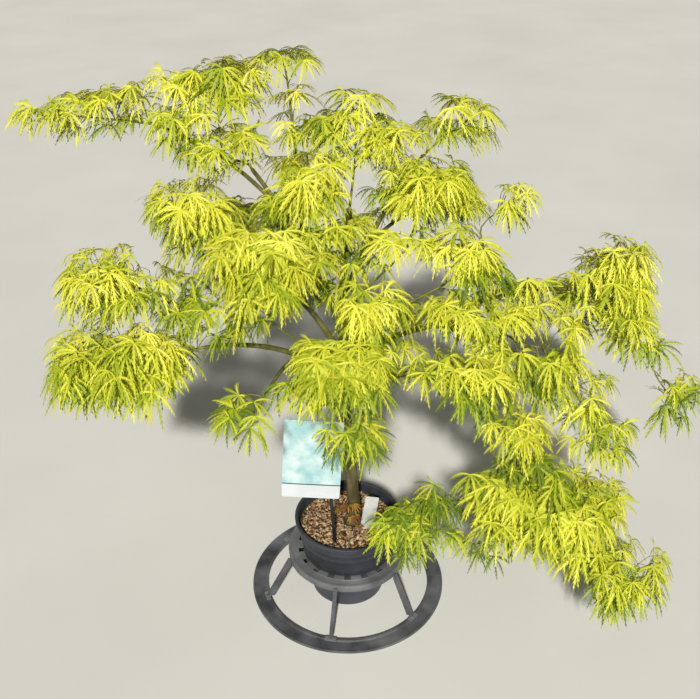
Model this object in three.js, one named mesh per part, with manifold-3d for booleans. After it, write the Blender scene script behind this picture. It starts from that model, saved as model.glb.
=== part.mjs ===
// A laceleaf maple in its nursery pot, which stands in a ring stand.
// Millimetres, +Z up. The origin is the centre of the pot's flat underside,
// +X is the plant's right and -Y its front.

import * as THREE from "three";
import { mergeVertices } from "three/addons/utils/BufferGeometryUtils.js";
import Module from "manifold-3d";

const wasm = await Module();
wasm.setup();

// Driving dimensions of the pot, its filling and the stand
const CLEARANCE = 0.3;
const POT = { height: 195, baseRadius: 79, wallRadius: 110, lipRadius: 114.5, lipDepth: 10, wall: 2.5, floor: 3 };
const SOIL = { top: 178, edgeDrop: 7, crownRadius: 70 };
const COLLAR = { top: 108, plate: 3, outerRadius: 131, flangeDepth: 16, flangeWall: 3, notches: 18 };
const NOTCH = { width: 10, depth: 8 };
const BASE_RING = { outerRadius: 215, innerRadius: 180, bandHeight: 5.5, lipHeight: 8, lipWidth: 6, wall: 3 };
const LEG = { count: 6, firstBearing: -161, width: 8, depth: 13, footWidth: 24, footHeight: 3.2, footReach: 192 };

// Driving dimensions of the label, its stick and the plant tag
const LABEL_FOOT = new THREE.Vector3(-27, -72, SOIL.top + CLEARANCE);
const LABEL = { width: 119, height: 186, thickness: 1.2, corner: 4, left: 109, bottom: 119, lean: -3.5, tiltBack: 4 };
const STICK = { width: 7, thickness: 3, length: 290, lean: 3.5 };
const TAG = { x: 40, y: -31, width: 28, length: 90, thickness: 1.2, corner: 3, lean: -8 };

// Driving dimensions of the plant
const TRUNK = { rootRadius: 13.5, tipRadius: 5.5, flare: 7, flareHeight: 22, sides: 8, steps: 10 };
const TRUNK_POINTS = [[14, 0, SOIL.top + CLEARANCE], [14, 0, 360], [-34, 8, 600], [4, 96, 868]];
const BOUGH = { sides: 5, steps: 4 };
const STEM = { rootRadius: 3.2, tipRadius: 1.8, steps: 6 };
const LEAF = { radius: 84, thickness: 5, stalk: 1.7, valley: 0.3, droop: 36 };
const SHOOT_LEAF = { radius: 24, thickness: 2.4, stalk: 0.8, valley: 0.3, droop: 30 };
const LEAF_SIZES = [1, 0.88, 0.76];
const LOBE_BEARINGS = [-120, -79, -39, 0, 39, 79, 120];
const LOBE_LENGTHS = [0.62, 0.86, 0.97, 1, 0.97, 0.86, 0.62];
const LEAF_SPACING = 0.42;
const LEAF_FACES = 70;
const LEAF_SKIN = 1.5;
const GOLDEN_ANGLE = Math.PI * (3 - Math.sqrt(5));

// Boughs: where each leaves its parent, where it ends, how far it arches up, and its radii
const BOUGHS = [
  { name: "bough_back_left", parent: "trunk", at: 0.66, end: [-182, 158, 922], arch: 60, radii: [6.5, 4] },
  { name: "bough_left_arm", parent: "bough_back_left", at: 0.72, end: [-366, 205, 992], arch: 55, radii: [4.2, 3.4] },
  { name: "bough_back_top", parent: "bough_back_left", at: 0.5, end: [-108, 232, 1004], arch: 30, radii: [4, 3.2] },
  { name: "bough_back_right", parent: "trunk", at: 0.74, end: [128, 168, 925], arch: 50, radii: [6, 4] },
  { name: "bough_back_low", parent: "bough_back_right", at: 0.35, end: [150, 262, 795], arch: 30, radii: [4, 3.2] },
  { name: "bough_left", parent: "trunk", at: 0.58, end: [-205, 28, 832], arch: 55, radii: [6.5, 4] },
  { name: "bough_left_middle", parent: "bough_left", at: 0.42, end: [-212, -14, 752], arch: 45, radii: [4.2, 3.4] },
  { name: "bough_left_rear", parent: "bough_left", at: 0.42, end: [-180, 225, 740], arch: 60, radii: [4, 3.2] },
  { name: "bough_left_front", parent: "trunk", at: 0.5, end: [-262, -72, 664], arch: 75, radii: [6.5, 4] },
  { name: "bough_front_left", parent: "bough_left_front", at: 0.38, end: [-146, -164, 622], arch: 30, radii: [4, 3.2] },
  { name: "bough_front", parent: "trunk", at: 0.46, end: [-14, -84, 650], arch: 50, radii: [5.5, 4] },
  { name: "bough_right", parent: "trunk", at: 0.54, end: [256, -26, 688], arch: 75, radii: [7, 4.2] },
  { name: "bough_right_back", parent: "bough_right", at: 0.68, end: [426, 60, 716], arch: 50, radii: [4.4, 3.4] },
  { name: "bough_right_outer", parent: "bough_right", at: 0.7, end: [424, -44, 560], arch: 40, radii: [4.2, 3.4] },
  { name: "bough_right_rear", parent: "bough_right_back", at: 0.3, end: [462, 240, 606], arch: 60, radii: [3.8, 3] },
  { name: "bough_right_front", parent: "trunk", at: 0.42, end: [116, -92, 622], arch: 40, radii: [6.5, 4] },
  { name: "bough_low_right", parent: "bough_right_front", at: 0.6, end: [266, -112, 548], arch: 70, radii: [4.4, 3.4] },
  { name: "bough_low_tip", parent: "bough_low_right", at: 0.6, end: [446, -190, 320], arch: 50, radii: [3.8, 3] },
  { name: "bough_low_small", parent: "bough_low_tip", at: 0.5, end: [214, -158, 360], arch: 10, radii: [3.4, 3] },
];

// Masses of foliage: the limb each grows from, and the puffs of its space as centre and half sizes
const MASSES = [
  { name: "foliage_left_arm", limb: "bough_left_arm", puffs: [[[-526, 222, 1006], [152, 86, 46]]], leaves: 12 },
  {
    name: "foliage_back_left", limb: "bough_back_left", leaves: 18,
    puffs: [[[-236, 165, 956], [118, 80, 55]], [[-264, 262, 1046], [124, 90, 66]]],
  },
  { name: "foliage_back_top", limb: "bough_back_top", puffs: [[[-120, 290, 1076], [74, 78, 52]]], leaves: 8 },
  {
    name: "foliage_centre_top", limb: "trunk", leaves: 11,
    puffs: [[[14, 140, 942], [66, 56, 48]], [[18, 182, 996], [76, 74, 66]]],
  },
  { name: "foliage_back_right", limb: "bough_back_right", puffs: [[[205, 222, 980], [94, 76, 56]]], leaves: 8 },
  { name: "foliage_back_low", limb: "bough_back_low", puffs: [[[200, 350, 775], [120, 100, 85]]], leaves: 10 },
  { name: "foliage_left_dome", limb: "bough_left", puffs: [[[-290, 50, 876], [104, 90, 74]]], leaves: 10 },
  { name: "foliage_centre_left", limb: "trunk", at: 0.8, puffs: [[[-92, 70, 910], [98, 88, 72]]], leaves: 10 },
  {
    name: "foliage_centre_right", limb: "trunk", at: 0.72, leaves: 14,
    puffs: [[[104, 26, 812], [84, 72, 56]], [[160, 94, 908], [98, 86, 72]]],
  },
  {
    name: "foliage_right_centre", limb: "trunk", at: 0.64, leaves: 13,
    puffs: [[[226, -14, 800], [88, 84, 80]], [[304, 116, 864], [58, 60, 50]]],
  },
  {
    name: "foliage_centre", limb: "trunk", at: 0.55, leaves: 16,
    puffs: [[[-134, -108, 742], [92, 72, 56]], [[-145, -58, 826], [112, 90, 70]]],
  },
  {
    name: "foliage_inner", limb: "trunk", at: 0.52, leaves: 12,
    puffs: [[[45, -74, 726], [76, 66, 62]], [[202, -66, 722], [88, 70, 54]]],
  },
  {
    name: "foliage_left_middle", limb: "bough_left_middle", leaves: 17,
    puffs: [[[-276, -34, 720], [86, 74, 58]], [[-418, -20, 764], [138, 100, 66]]],
  },
  { name: "foliage_left_rear", limb: "bough_left_rear", puffs: [[[-215, 330, 725], [125, 100, 80]]], leaves: 10 },
  { name: "foliage_left_front", limb: "bough_left_front", puffs: [[[-398, -100, 634], [160, 118, 96]]], leaves: 16 },
  { name: "foliage_front_left", limb: "bough_front_left", puffs: [[[-170, -206, 602], [76, 72, 62]]], leaves: 6 },
  {
    name: "foliage_front", limb: "bough_front", leaves: 16,
    puffs: [[[-18, -146, 636], [112, 92, 88]], [[14, -128, 478], [68, 60, 62]]],
  },
  { name: "foliage_right_middle", limb: "bough_right", puffs: [[[340, -42, 648], [112, 104, 106]]], leaves: 13 },
  {
    name: "foliage_right_back", limb: "bough_right_back", leaves: 18,
    puffs: [[[526, 84, 698], [118, 108, 106]], [[668, 20, 482], [66, 66, 80]]],
  },
  { name: "foliage_right_outer", limb: "bough_right_outer", puffs: [[[490, -52, 482], [84, 82, 98]]], leaves: 9 },
  { name: "foliage_right_rear", limb: "bough_right_rear", puffs: [[[556, 306, 545], [112, 96, 86]]], leaves: 10 },
  { name: "foliage_right_front", limb: "bough_right_front", puffs: [[[202, -126, 616], [98, 88, 68]]], leaves: 10 },
  {
    name: "foliage_low_right", limb: "bough_low_right", leaves: 24,
    puffs: [[[314, -126, 476], [78, 78, 94]], [[386, -150, 342], [168, 108, 94]]],
  },
  { name: "foliage_low_tip", limb: "bough_low_tip", puffs: [[[512, -226, 236], [112, 84, 90]]], leaves: 11 },
  { name: "foliage_low_small", limb: "bough_low_small", puffs: [[[138, -150, 284], [98, 74, 78]]], leaves: 9 },
  {
    name: "foliage_low_shoot", limb: "trunk", at: 0.04, leaves: 5, leaf: SHOOT_LEAF,
    puffs: [[[0, -34, 222], [27, 25, 34]]],
  },
];

// Finishes
const finish = (colour, roughness) => new THREE.MeshStandardMaterial({ color: colour, roughness, metalness: 0 });
const POT_PLASTIC = () => finish(0x2b2f36, 0.62);
const STAND_PLASTIC = () => finish(0x33363b, 0.7);
const SOIL_MULCH = () => finish(0x9c7a58, 0.95);
const BARK = () => finish(0x6f6545, 0.85);
const LEAF_LIME = () => finish(0xb8d020, 0.6);
const LEAF_BRONZE = () => finish(0xa8622a, 0.65);
const CARD_FACE = () => finish(0xcfe6ea, 0.45);
const TAG_FACE = () => finish(0xe8ecea, 0.5);
const STICK_PLASTIC = () => finish(0x1b1c1e, 0.5);

// Numbers between 0 and 1 that are the same for the same seed
function seededDraws(seed) {
  let state = seed;
  return () => {
    state = (state * 1664525 + 1013904223) % 4294967296;
    return state / 4294967296;
  };
}

// A closed geometry as a solid: shared vertices merged, empty triangles left out
function solidOf(geometry) {
  const bare = geometry.clone();
  bare.deleteAttribute("normal");
  bare.deleteAttribute("uv");
  const merged = mergeVertices(bare, 1e-3);
  const index = merged.index.array;
  const kept = [];
  for (let i = 0; i < index.length; i += 3) {
    const [a, b, c] = [index[i], index[i + 1], index[i + 2]];
    if (a !== b && b !== c && c !== a) kept.push(a, b, c);
  }
  const vertProperties = new Float32Array(merged.getAttribute("position").array);
  return new wasm.Manifold(new wasm.Mesh({ numProp: 3, vertProperties, triVerts: new Uint32Array(kept) }));
}

// A solid's one main body, with its loose scraps dropped and its sealed hollows filled
function mainBody(solid) {
  return solid.decompose().reduce((largest, piece) => (piece.volume() > largest.volume() ? piece : largest));
}

// A solid as a named mesh
function meshOf(name, solid, material) {
  const { numProp, vertProperties, triVerts } = solid.getMesh();
  const geometry = new THREE.BufferGeometry();
  const corners = vertProperties.length / numProp;
  const positions = new Float32Array(corners * 3);
  for (let i = 0; i < corners; i += 1) {
    for (let k = 0; k < 3; k += 1) positions[3 * i + k] = vertProperties[numProp * i + k];
  }
  geometry.setAttribute("position", new THREE.BufferAttribute(positions, 3));
  geometry.setIndex([...triVerts]);
  geometry.computeVertexNormals();
  const mesh = new THREE.Mesh(geometry, material);
  mesh.name = name;
  return mesh;
}

// A turned solid from a profile of radius and height pairs
function turned(profile, sides) {
  const points = profile.map(([radius, height]) => new THREE.Vector2(radius, height));
  return solidOf(new THREE.LatheGeometry(points, sides).rotateX(Math.PI / 2));
}

// A block with its centre at the given place, turned about Z by the bearing
function block(size, centre, bearing = 0) {
  const geometry = new THREE.BoxGeometry(...size).translate(...centre).rotateZ(THREE.MathUtils.degToRad(bearing));
  return solidOf(geometry);
}

// The pot's outer radius at a height on its tapering wall
function potRadius(height) {
  const wallTop = POT.height - POT.lipDepth;
  return POT.baseRadius + (POT.wallRadius - POT.baseRadius) * Math.min(height / wallTop, 1);
}

function makePot() {
  const lipFoot = POT.height - POT.lipDepth;
  const lipInside = POT.wallRadius - POT.wall;
  const solid = turned([
    [0, 0],
    [POT.baseRadius, 0],
    [POT.wallRadius, lipFoot],
    [POT.lipRadius, lipFoot],
    [POT.lipRadius, POT.height - 1],
    [POT.lipRadius - 1.2, POT.height],
    [lipInside, POT.height],
    [lipInside, lipFoot],
    [POT.baseRadius - POT.wall, POT.floor],
    [0, POT.floor],
  ], 40);
  return meshOf("pot", solid, POT_PLASTIC());
}

function makeSoil() {
  const inside = (height) => potRadius(height) - POT.wall - 2 * CLEARANCE;
  const foot = POT.floor + CLEARANCE;
  const edge = SOIL.top - SOIL.edgeDrop;
  const solid = turned([
    [0, foot],
    [inside(foot), foot],
    [inside(edge), edge],
    [SOIL.crownRadius, SOIL.top],
    [0, SOIL.top],
  ], 40);
  return meshOf("soil", solid, SOIL_MULCH());
}

// The stand's collar: a notched plate round the pot with a flange down its outside
function makeCollar() {
  const sides = 2 * COLLAR.notches;
  const inside = (potRadius(COLLAR.top) + CLEARANCE) / Math.cos(Math.PI / sides);
  const plateFoot = COLLAR.top - COLLAR.plate;
  const flangeFoot = COLLAR.top - COLLAR.flangeDepth;
  let solid = turned([
    [inside, plateFoot],
    [COLLAR.outerRadius - COLLAR.flangeWall, plateFoot],
    [COLLAR.outerRadius - COLLAR.flangeWall, flangeFoot],
    [COLLAR.outerRadius, flangeFoot],
    [COLLAR.outerRadius, COLLAR.top - 1.5],
    [COLLAR.outerRadius - 1.5, COLLAR.top],
    [inside, COLLAR.top],
    [inside, plateFoot],
  ], sides);
  for (let k = 0; k < COLLAR.notches; k += 1) {
    const centre = [inside + NOTCH.depth / 2 - 2, 0, COLLAR.top - COLLAR.plate / 2];
    const bearing = (k + 0.5) * 360 / COLLAR.notches;
    solid = solid.subtract(block([NOTCH.depth + 4, NOTCH.width, COLLAR.plate + 2], centre, bearing));
  }
  return meshOf("stand_collar", solid, STAND_PLASTIC());
}

// The stand's base ring: a channel that is open below, with a raised lip on its inside
function makeBaseRing() {
  const { outerRadius, innerRadius, bandHeight, lipHeight, lipWidth, wall } = BASE_RING;
  const solid = turned([
    [innerRadius, 0],
    [innerRadius + wall, 0],
    [innerRadius + wall, bandHeight - wall],
    [outerRadius - wall, bandHeight - wall],
    [outerRadius - wall, 0],
    [outerRadius, 0],
    [outerRadius - 1, bandHeight],
    [innerRadius + lipWidth, bandHeight],
    [innerRadius + lipWidth - 1, lipHeight],
    [innerRadius, lipHeight],
    [innerRadius, 0],
  ], 48);
  return meshOf("stand_base_ring", solid, STAND_PLASTIC());
}

// One leg: a sloping blade from the collar's flange to a clip on the base ring's lip
function makeLeg(number) {
  const top = COLLAR.top - 3;
  const inside = COLLAR.outerRadius + CLEARANCE;
  const footHeight = BASE_RING.lipHeight + CLEARANCE;
  const outline = new THREE.Shape([
    new THREE.Vector2(inside, top),
    new THREE.Vector2(inside, top - LEG.depth),
    new THREE.Vector2(BASE_RING.innerRadius - 7, footHeight),
    new THREE.Vector2(LEG.footReach, footHeight),
    new THREE.Vector2(LEG.footReach, footHeight + LEG.footHeight),
    new THREE.Vector2(BASE_RING.innerRadius + 7, footHeight + LEG.footHeight + 2),
    new THREE.Vector2(inside + 4, top),
  ]);
  const blade = new THREE.ExtrudeGeometry(outline, { depth: LEG.width, bevelEnabled: false });
  blade.translate(0, 0, -LEG.width / 2).rotateX(Math.PI / 2);
  const clipCentre = [LEG.footReach - 5, 0, footHeight + LEG.footHeight / 2];
  const solid = solidOf(blade).add(block([10, LEG.footWidth, LEG.footHeight], clipCentre));
  const leg = meshOf(`stand_leg_${number}`, solid, STAND_PLASTIC());
  leg.rotation.z = THREE.MathUtils.degToRad(LEG.firstBearing + (number - 1) * 360 / LEG.count);
  return leg;
}

// A thin plate with round corners, standing on the X axis with its back on the XZ plane
function plate(width, height, thickness, corner) {
  const right = width / 2;
  const outline = new THREE.Shape();
  outline.moveTo(-right + corner, 0);
  outline.lineTo(right - corner, 0);
  outline.absarc(right - corner, corner, corner, -Math.PI / 2, 0);
  outline.absarc(right - corner, height - corner, corner, 0, Math.PI / 2);
  outline.absarc(-right + corner, height - corner, corner, Math.PI / 2, Math.PI);
  outline.absarc(-right + corner, corner, corner, Math.PI, Math.PI * 1.5);
  const options = { depth: thickness, bevelEnabled: false, curveSegments: 1 };
  return new THREE.ExtrudeGeometry(outline, options).rotateX(Math.PI / 2);
}

// The label: a card held by a slim stick that stands in the soil
function makeLabel() {
  const group = new THREE.Group();
  group.position.copy(LABEL_FOOT);
  group.rotation.x = THREE.MathUtils.degToRad(-LABEL.tiltBack);
  const card = meshOf("label_card", solidOf(plate(LABEL.width, LABEL.height, LABEL.thickness, LABEL.corner)), CARD_FACE());
  card.position.set(LABEL.width / 2 - LABEL.left, -CLEARANCE, LABEL.bottom);
  card.rotation.y = THREE.MathUtils.degToRad(-LABEL.lean);
  const blade = plate(STICK.width, STICK.length, STICK.thickness, 1);
  blade.translate(0, STICK.thickness, -0.5);
  const stick = meshOf("label_stick", solidOf(blade), STICK_PLASTIC());
  stick.rotation.y = THREE.MathUtils.degToRad(-STICK.lean);
  group.add(card, stick);
  return group;
}

function makeTag() {
  const tag = meshOf("plant_tag", solidOf(plate(TAG.width, TAG.length, TAG.thickness, TAG.corner)), TAG_FACE());
  tag.position.set(TAG.x, TAG.y, SOIL.top + CLEARANCE + TAG.width / 2 * Math.sin(THREE.MathUtils.degToRad(-TAG.lean)));
  tag.rotation.y = THREE.MathUtils.degToRad(-TAG.lean);
  return tag;
}

// A limb round a curve: a cylinder whose rows are moved onto the curve, thick as radiusAt says
function limbSolid(curve, radiusAt, sides, steps) {
  const geometry = new THREE.CylinderGeometry(1, 1, 1, sides, steps);
  const position = geometry.getAttribute("position");
  const frames = curve.computeFrenetFrames(steps, false);
  const point = new THREE.Vector3();
  for (let i = 0; i < position.count; i += 1) {
    const row = Math.round((position.getY(i) + 0.5) * steps);
    const along = row / steps;
    const radius = radiusAt(along);
    point.copy(curve.getPointAt(along));
    point.addScaledVector(frames.normals[row], position.getX(i) * radius);
    point.addScaledVector(frames.binormals[row], -position.getZ(i) * radius);
    position.setXYZ(i, point.x, point.y, point.z);
  }
  return solidOf(geometry);
}

// A limb's record: its curve, its radius along it, and the polyline that others keep clear of
function makeLimb(name, curve, radiusAt, sides, steps) {
  const line = curve.getSpacedPoints(3 * steps).map((point, i) => ({ point, radius: radiusAt(i / (3 * steps)) }));
  const grown = CLEARANCE / Math.cos(Math.PI / sides);
  return {
    name,
    curve,
    line,
    solid: limbSolid(curve, radiusAt, sides, steps),
    clearance: limbSolid(curve, (along) => radiusAt(along) + grown, sides, steps),
  };
}

function makeTrunk() {
  const curve = new THREE.CubicBezierCurve3(...TRUNK_POINTS.map((place) => new THREE.Vector3(...place)));
  const length = curve.getLength();
  const radiusAt = (along) => {
    const taper = THREE.MathUtils.lerp(TRUNK.rootRadius, TRUNK.tipRadius, along);
    return taper + TRUNK.flare * Math.exp(-along * length / TRUNK.flareHeight);
  };
  return makeLimb("trunk", curve, radiusAt, TRUNK.sides, TRUNK.steps);
}

// A bough leaves its parent's middle, arches over and ends at its tip; the parent is cut out of its foot
function makeBough(bough, parent) {
  const start = parent.curve.getPointAt(bough.at);
  const end = new THREE.Vector3(...bough.end);
  const middle = start.clone().lerp(end, 0.42).add(new THREE.Vector3(0, 0, bough.arch));
  const curve = new THREE.QuadraticBezierCurve3(start, middle, end);
  const radiusAt = (along) => THREE.MathUtils.lerp(...bough.radii, along);
  const limb = makeLimb(bough.name, curve, radiusAt, BOUGH.sides, BOUGH.steps);
  limb.solid = mainBody(limb.solid.subtract(parent.clearance));
  return limb;
}

// A mass's stem runs from its limb through its puffs; from a tip it goes straight on, 0.3 mm clear
function stemCurve(mass, limb) {
  const centres = mass.puffs.map(([centre]) => new THREE.Vector3(...centre));
  const [, half] = mass.puffs[mass.puffs.length - 1];
  const along = mass.at ?? 1;
  const start = limb.curve.getPointAt(along);
  const points = [start];
  if (along === 1) {
    const onward = limb.curve.getTangentAt(1);
    start.addScaledVector(onward, CLEARANCE);
    points.push(start.clone().addScaledVector(onward, 14));
  }
  const before = centres.length > 1 ? centres[centres.length - 2] : start;
  const last = centres[centres.length - 1];
  const outward = last.clone().sub(before).setZ(0).normalize();
  const end = last.clone().add(new THREE.Vector3(outward.x * half[0], outward.y * half[1], 0).multiplyScalar(0.45));
  points.push(...centres.slice(0, -1), last.clone().lerp(start, 0.15), end);
  return new THREE.CatmullRomCurve3(points, false, "catmullrom", 0.5);
}

// How far out a place lies in a mass's space: 0 at a puff's centre, 1 on its skin
function depthIn(mass, place) {
  const levels = mass.puffs.map(([centre, half]) => Math.hypot(
    (place.x - centre[0]) / half[0],
    (place.y - centre[1]) / half[1],
    (place.z - centre[2]) / half[2],
  ));
  return Math.min(...levels);
}

// A place is a mass's own when it lies no further out than its skin allows and deeper in it than in any other mass
function isOwnPlace(mass, place, skin) {
  const own = depthIn(mass, place);
  return own < skin && MASSES.every((other) => other === mass || own < depthIn(other, place) - 0.04);
}

// The gap between two straight stretches
function stretchGap(a, b, c, d) {
  let gap = Infinity;
  const probe = new THREE.Vector3();
  const line = new THREE.Line3(c, d);
  const nearest = new THREE.Vector3();
  for (let i = 0; i <= 6; i += 1) {
    probe.lerpVectors(a, b, i / 6);
    line.closestPointToPoint(probe, true, nearest);
    gap = Math.min(gap, probe.distanceTo(nearest));
  }
  return gap;
}

// True where a stretch keeps a margin to every limb
function clearOfLimbs(from, to, limbs, margin) {
  return limbs.every((limb) => limb.line.every((row, i) => {
    if (i === 0) return true;
    return stretchGap(from, to, limb.line[i - 1].point, row.point) > row.radius + margin;
  }));
}

// True where a place is outside the pot, the stand and the label
function clearOfPot(place) {
  const reach = Math.hypot(place.x, place.y);
  if (place.z < POT.height + 8 && place.z > SOIL.top + 4 && reach < POT.wallRadius - 12) return true;
  if (place.z < POT.height + 8 && reach < POT.lipRadius + 8) return false;
  if (place.z < COLLAR.top + 8 && reach < BASE_RING.outerRadius + 6) return false;
  const behindCard = Math.abs(place.y - LABEL_FOOT.y - (place.z - SOIL.top) * 0.07) < 9;
  const besideCard = place.x > LABEL_FOOT.x - LABEL.left - 10 && place.x < LABEL_FOOT.x + LABEL.width - LABEL.left + 24;
  return !(behindCard && besideCard && place.z < SOIL.top + LABEL.bottom + LABEL.height + 10);
}

// A leaf on its stalk, in one closed surface. Its rim has seven drooping lobes with valleys between them,
// from one shoulder of the stalk to the other, and the middle lobe points outward.
function leafOnStalk(leaf, size, root, centre, axis, outward) {
  const forward = outward.clone().addScaledVector(axis, -outward.dot(axis)).normalize();
  const side = new THREE.Vector3().crossVectors(axis, forward);
  const droop = THREE.MathUtils.degToRad(leaf.droop);
  const onLeaf = (ahead, across, up) => centre.clone()
    .addScaledVector(forward, ahead)
    .addScaledVector(side, across)
    .addScaledVector(axis, up);
  const lobePoint = (bearing, length, fall) => {
    const turn = THREE.MathUtils.degToRad(bearing);
    const reach = leaf.radius * size * length;
    const level = Math.cos(fall) * reach;
    return onLeaf(Math.cos(turn) * level, Math.sin(turn) * level, -Math.sin(fall) * reach);
  };
  const rim = [onLeaf(-3 * leaf.stalk, -1.5 * leaf.stalk, 0)];
  LOBE_BEARINGS.forEach((bearing, i) => {
    if (i > 0) rim.push(lobePoint((LOBE_BEARINGS[i - 1] + bearing) / 2, leaf.valley, droop / 2));
    rim.push(lobePoint(bearing, LOBE_LENGTHS[i], droop));
  });
  rim.push(onLeaf(-3 * leaf.stalk, 1.5 * leaf.stalk, 0));
  const across = new THREE.Vector3().crossVectors(new THREE.Vector3(0, 0, 1), centre.clone().sub(root)).normalize();
  const stalkFoot = [
    root.clone().addScaledVector(across, -leaf.stalk).add(new THREE.Vector3(0, 0, leaf.stalk / 2)),
    root.clone().addScaledVector(across, leaf.stalk).add(new THREE.Vector3(0, 0, leaf.stalk / 2)),
    root.clone().add(new THREE.Vector3(0, 0, -leaf.stalk)),
  ];
  const top = onLeaf(0, 0, leaf.thickness / 2);
  const bottom = onLeaf(0, 0, -leaf.thickness / 2);
  const points = [...rim, top, bottom, ...stalkFoot];
  const last = rim.length - 1;
  const [crown, base, foot] = [last + 1, last + 2, last + 3];
  const faces = [last, 0, crown, foot, foot + 1, foot + 2];
  for (let i = 0; i < last; i += 1) faces.push(i, i + 1, crown, i + 1, i, base);
  const head = [0, last, base];
  for (let k = 0; k < 3; k += 1) {
    const next = (k + 1) % 3;
    faces.push(head[k], head[next], foot + k, head[next], foot + next, foot + k);
  }
  const geometry = new THREE.BufferGeometry().setFromPoints(points);
  geometry.setIndex(faces);
  return { rim, geometry };
}

// The places that a mass's leaves aim for: a spiral over each puff's top and flanks, then one inside it
function leafPlaces(mass, draw) {
  const leaf = mass.leaf ?? LEAF;
  const places = [];
  const count = Math.round(2.4 * mass.leaves / mass.puffs.length);
  for (const shell of [1, 0.45]) {
    for (const [centre, half] of mass.puffs) {
      for (let k = 0; k < count; k += 1) {
        const level = 0.96 - 1.5 * (k + 0.5) / count;
        const ring = Math.sqrt(1 - level * level);
        const turn = k * GOLDEN_ANGLE + 0.6 * draw();
        const depth = shell * (0.85 + 0.3 * draw());
        const room = half.map((size, i) => Math.max(size - leaf.radius * (i < 2 ? 0.5 : 0.25), 0.4 * size));
        places.push(new THREE.Vector3(
          centre[0] + room[0] * ring * Math.cos(turn) * depth,
          centre[1] + room[1] * ring * Math.sin(turn) * depth,
          centre[2] + room[2] * level * depth + leaf.radius * 0.16,
        ));
      }
    }
  }
  return places;
}

// A place on the middle of a faceted stem, which is straight between its rows
function onStem(stem, along) {
  const row = Math.floor(along * STEM.steps);
  const from = stem.curve.getPointAt(row / STEM.steps);
  return from.lerp(stem.curve.getPointAt((row + 1) / STEM.steps), along * STEM.steps - row);
}

// Where a leaf's stalk starts: on the stem, a little nearer its foot than the nearest place on it
function stalkRoot(stem, place, draw) {
  let best = 0.1;
  let gap = Infinity;
  for (let along = 0.1; along < 1; along += 0.02) {
    const distance = onStem(stem, along).distanceTo(place);
    if (distance < gap) [best, gap] = [along, distance];
  }
  const back = Math.min(0.3 * gap, 40) / stem.curve.getLength();
  return onStem(stem, THREE.MathUtils.clamp(best - back - 0.04 * draw(), 0.08, 0.97));
}

// One mass: its stem, with leaves on stalks from it wherever they have room
function makeMass(mass, seed, limbs, stems) {
  const leaf = mass.leaf ?? LEAF;
  const draw = seededDraws(seed);
  const stem = stems.get(mass.name);
  const parent = limbs.find((limb) => limb.name === mass.limb);
  const others = [...limbs, ...[...stems.values()].filter((other) => other !== stem)];
  const placed = [];
  let solid = stem.solid;
  for (const place of leafPlaces(mass, draw)) {
    if (placed.length >= mass.leaves) break;
    const root = stalkRoot(stem, place, draw);
    const outward = place.clone().sub(root).setZ(0);
    outward.add(new THREE.Vector3(draw() - 0.5, draw() - 0.5, 0).multiplyScalar(10)).normalize();
    const lean = new THREE.Vector3(draw() - 0.5, draw() - 0.5, 0).multiplyScalar(0.4);
    const axis = new THREE.Vector3(0, 0, 1).addScaledVector(outward, 0.3).add(lean).normalize();
    if (placed.some((other) => other.distanceTo(place) < LEAF_SPACING * leaf.radius)) continue;
    if (!isOwnPlace(mass, place, 1) || !clearOfLimbs(root, place, others, 2.5)) continue;
    for (const size of LEAF_SIZES) {
      const { rim, geometry } = leafOnStalk(leaf, size, root, place, axis, outward);
      const fits = rim.every((tip) => isOwnPlace(mass, tip, LEAF_SKIN) && clearOfPot(tip)
        && clearOfPot(tip.clone().lerp(place, 0.5)) && clearOfLimbs(place, tip, others, 4));
      if (!fits) continue;
      const grown = solid.add(solidOf(geometry));
      if (grown.numTri() - solid.numTri() > LEAF_FACES) continue;
      solid = grown;
      placed.push(place);
      break;
    }
  }
  if (mass.at !== undefined) solid = solid.subtract(parent.clearance);
  return meshOf(mass.name, mainBody(solid), mass.leaf ? LEAF_BRONZE() : LEAF_LIME());
}

function makePlant() {
  const trunk = makeTrunk();
  const limbs = [trunk];
  for (const bough of BOUGHS) {
    limbs.push(makeBough(bough, limbs.find((limb) => limb.name === bough.parent)));
  }
  const stems = new Map();
  for (const mass of MASSES) {
    const limb = limbs.find((candidate) => candidate.name === mass.limb);
    const scale = mass.leaf ? 0.5 : 1;
    const radiusAt = (along) => scale * THREE.MathUtils.lerp(STEM.rootRadius, STEM.tipRadius, along);
    stems.set(mass.name, makeLimb(mass.name, stemCurve(mass, limb), radiusAt, 3, STEM.steps));
  }
  const plant = new THREE.Group();
  limbs.forEach((limb) => plant.add(meshOf(limb.name, limb.solid, BARK())));
  MASSES.forEach((mass, i) => plant.add(makeMass(mass, 1000 + 77 * i, limbs, stems)));
  return plant;
}

const model = new THREE.Group();
model.add(makePot(), makeSoil(), makeCollar(), makeBaseRing());
for (let number = 1; number <= LEG.count; number += 1) model.add(makeLeg(number));
model.add(makeLabel(), makeTag(), makePlant());

export default model;
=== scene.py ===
"""The looks of a laceleaf maple in its nursery pot, which stands in a ring stand.

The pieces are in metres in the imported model's frame. Sizes are worked out in millimetres
and turned into metres where a mesh is made.
"""

from math import atan2, cos, hypot, pi, radians, sin, sqrt
from types import SimpleNamespace as Values

import bmesh
import bpy
import numpy as np
from mathutils import Matrix, Vector, noise
from numpy.linalg import norm


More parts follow.
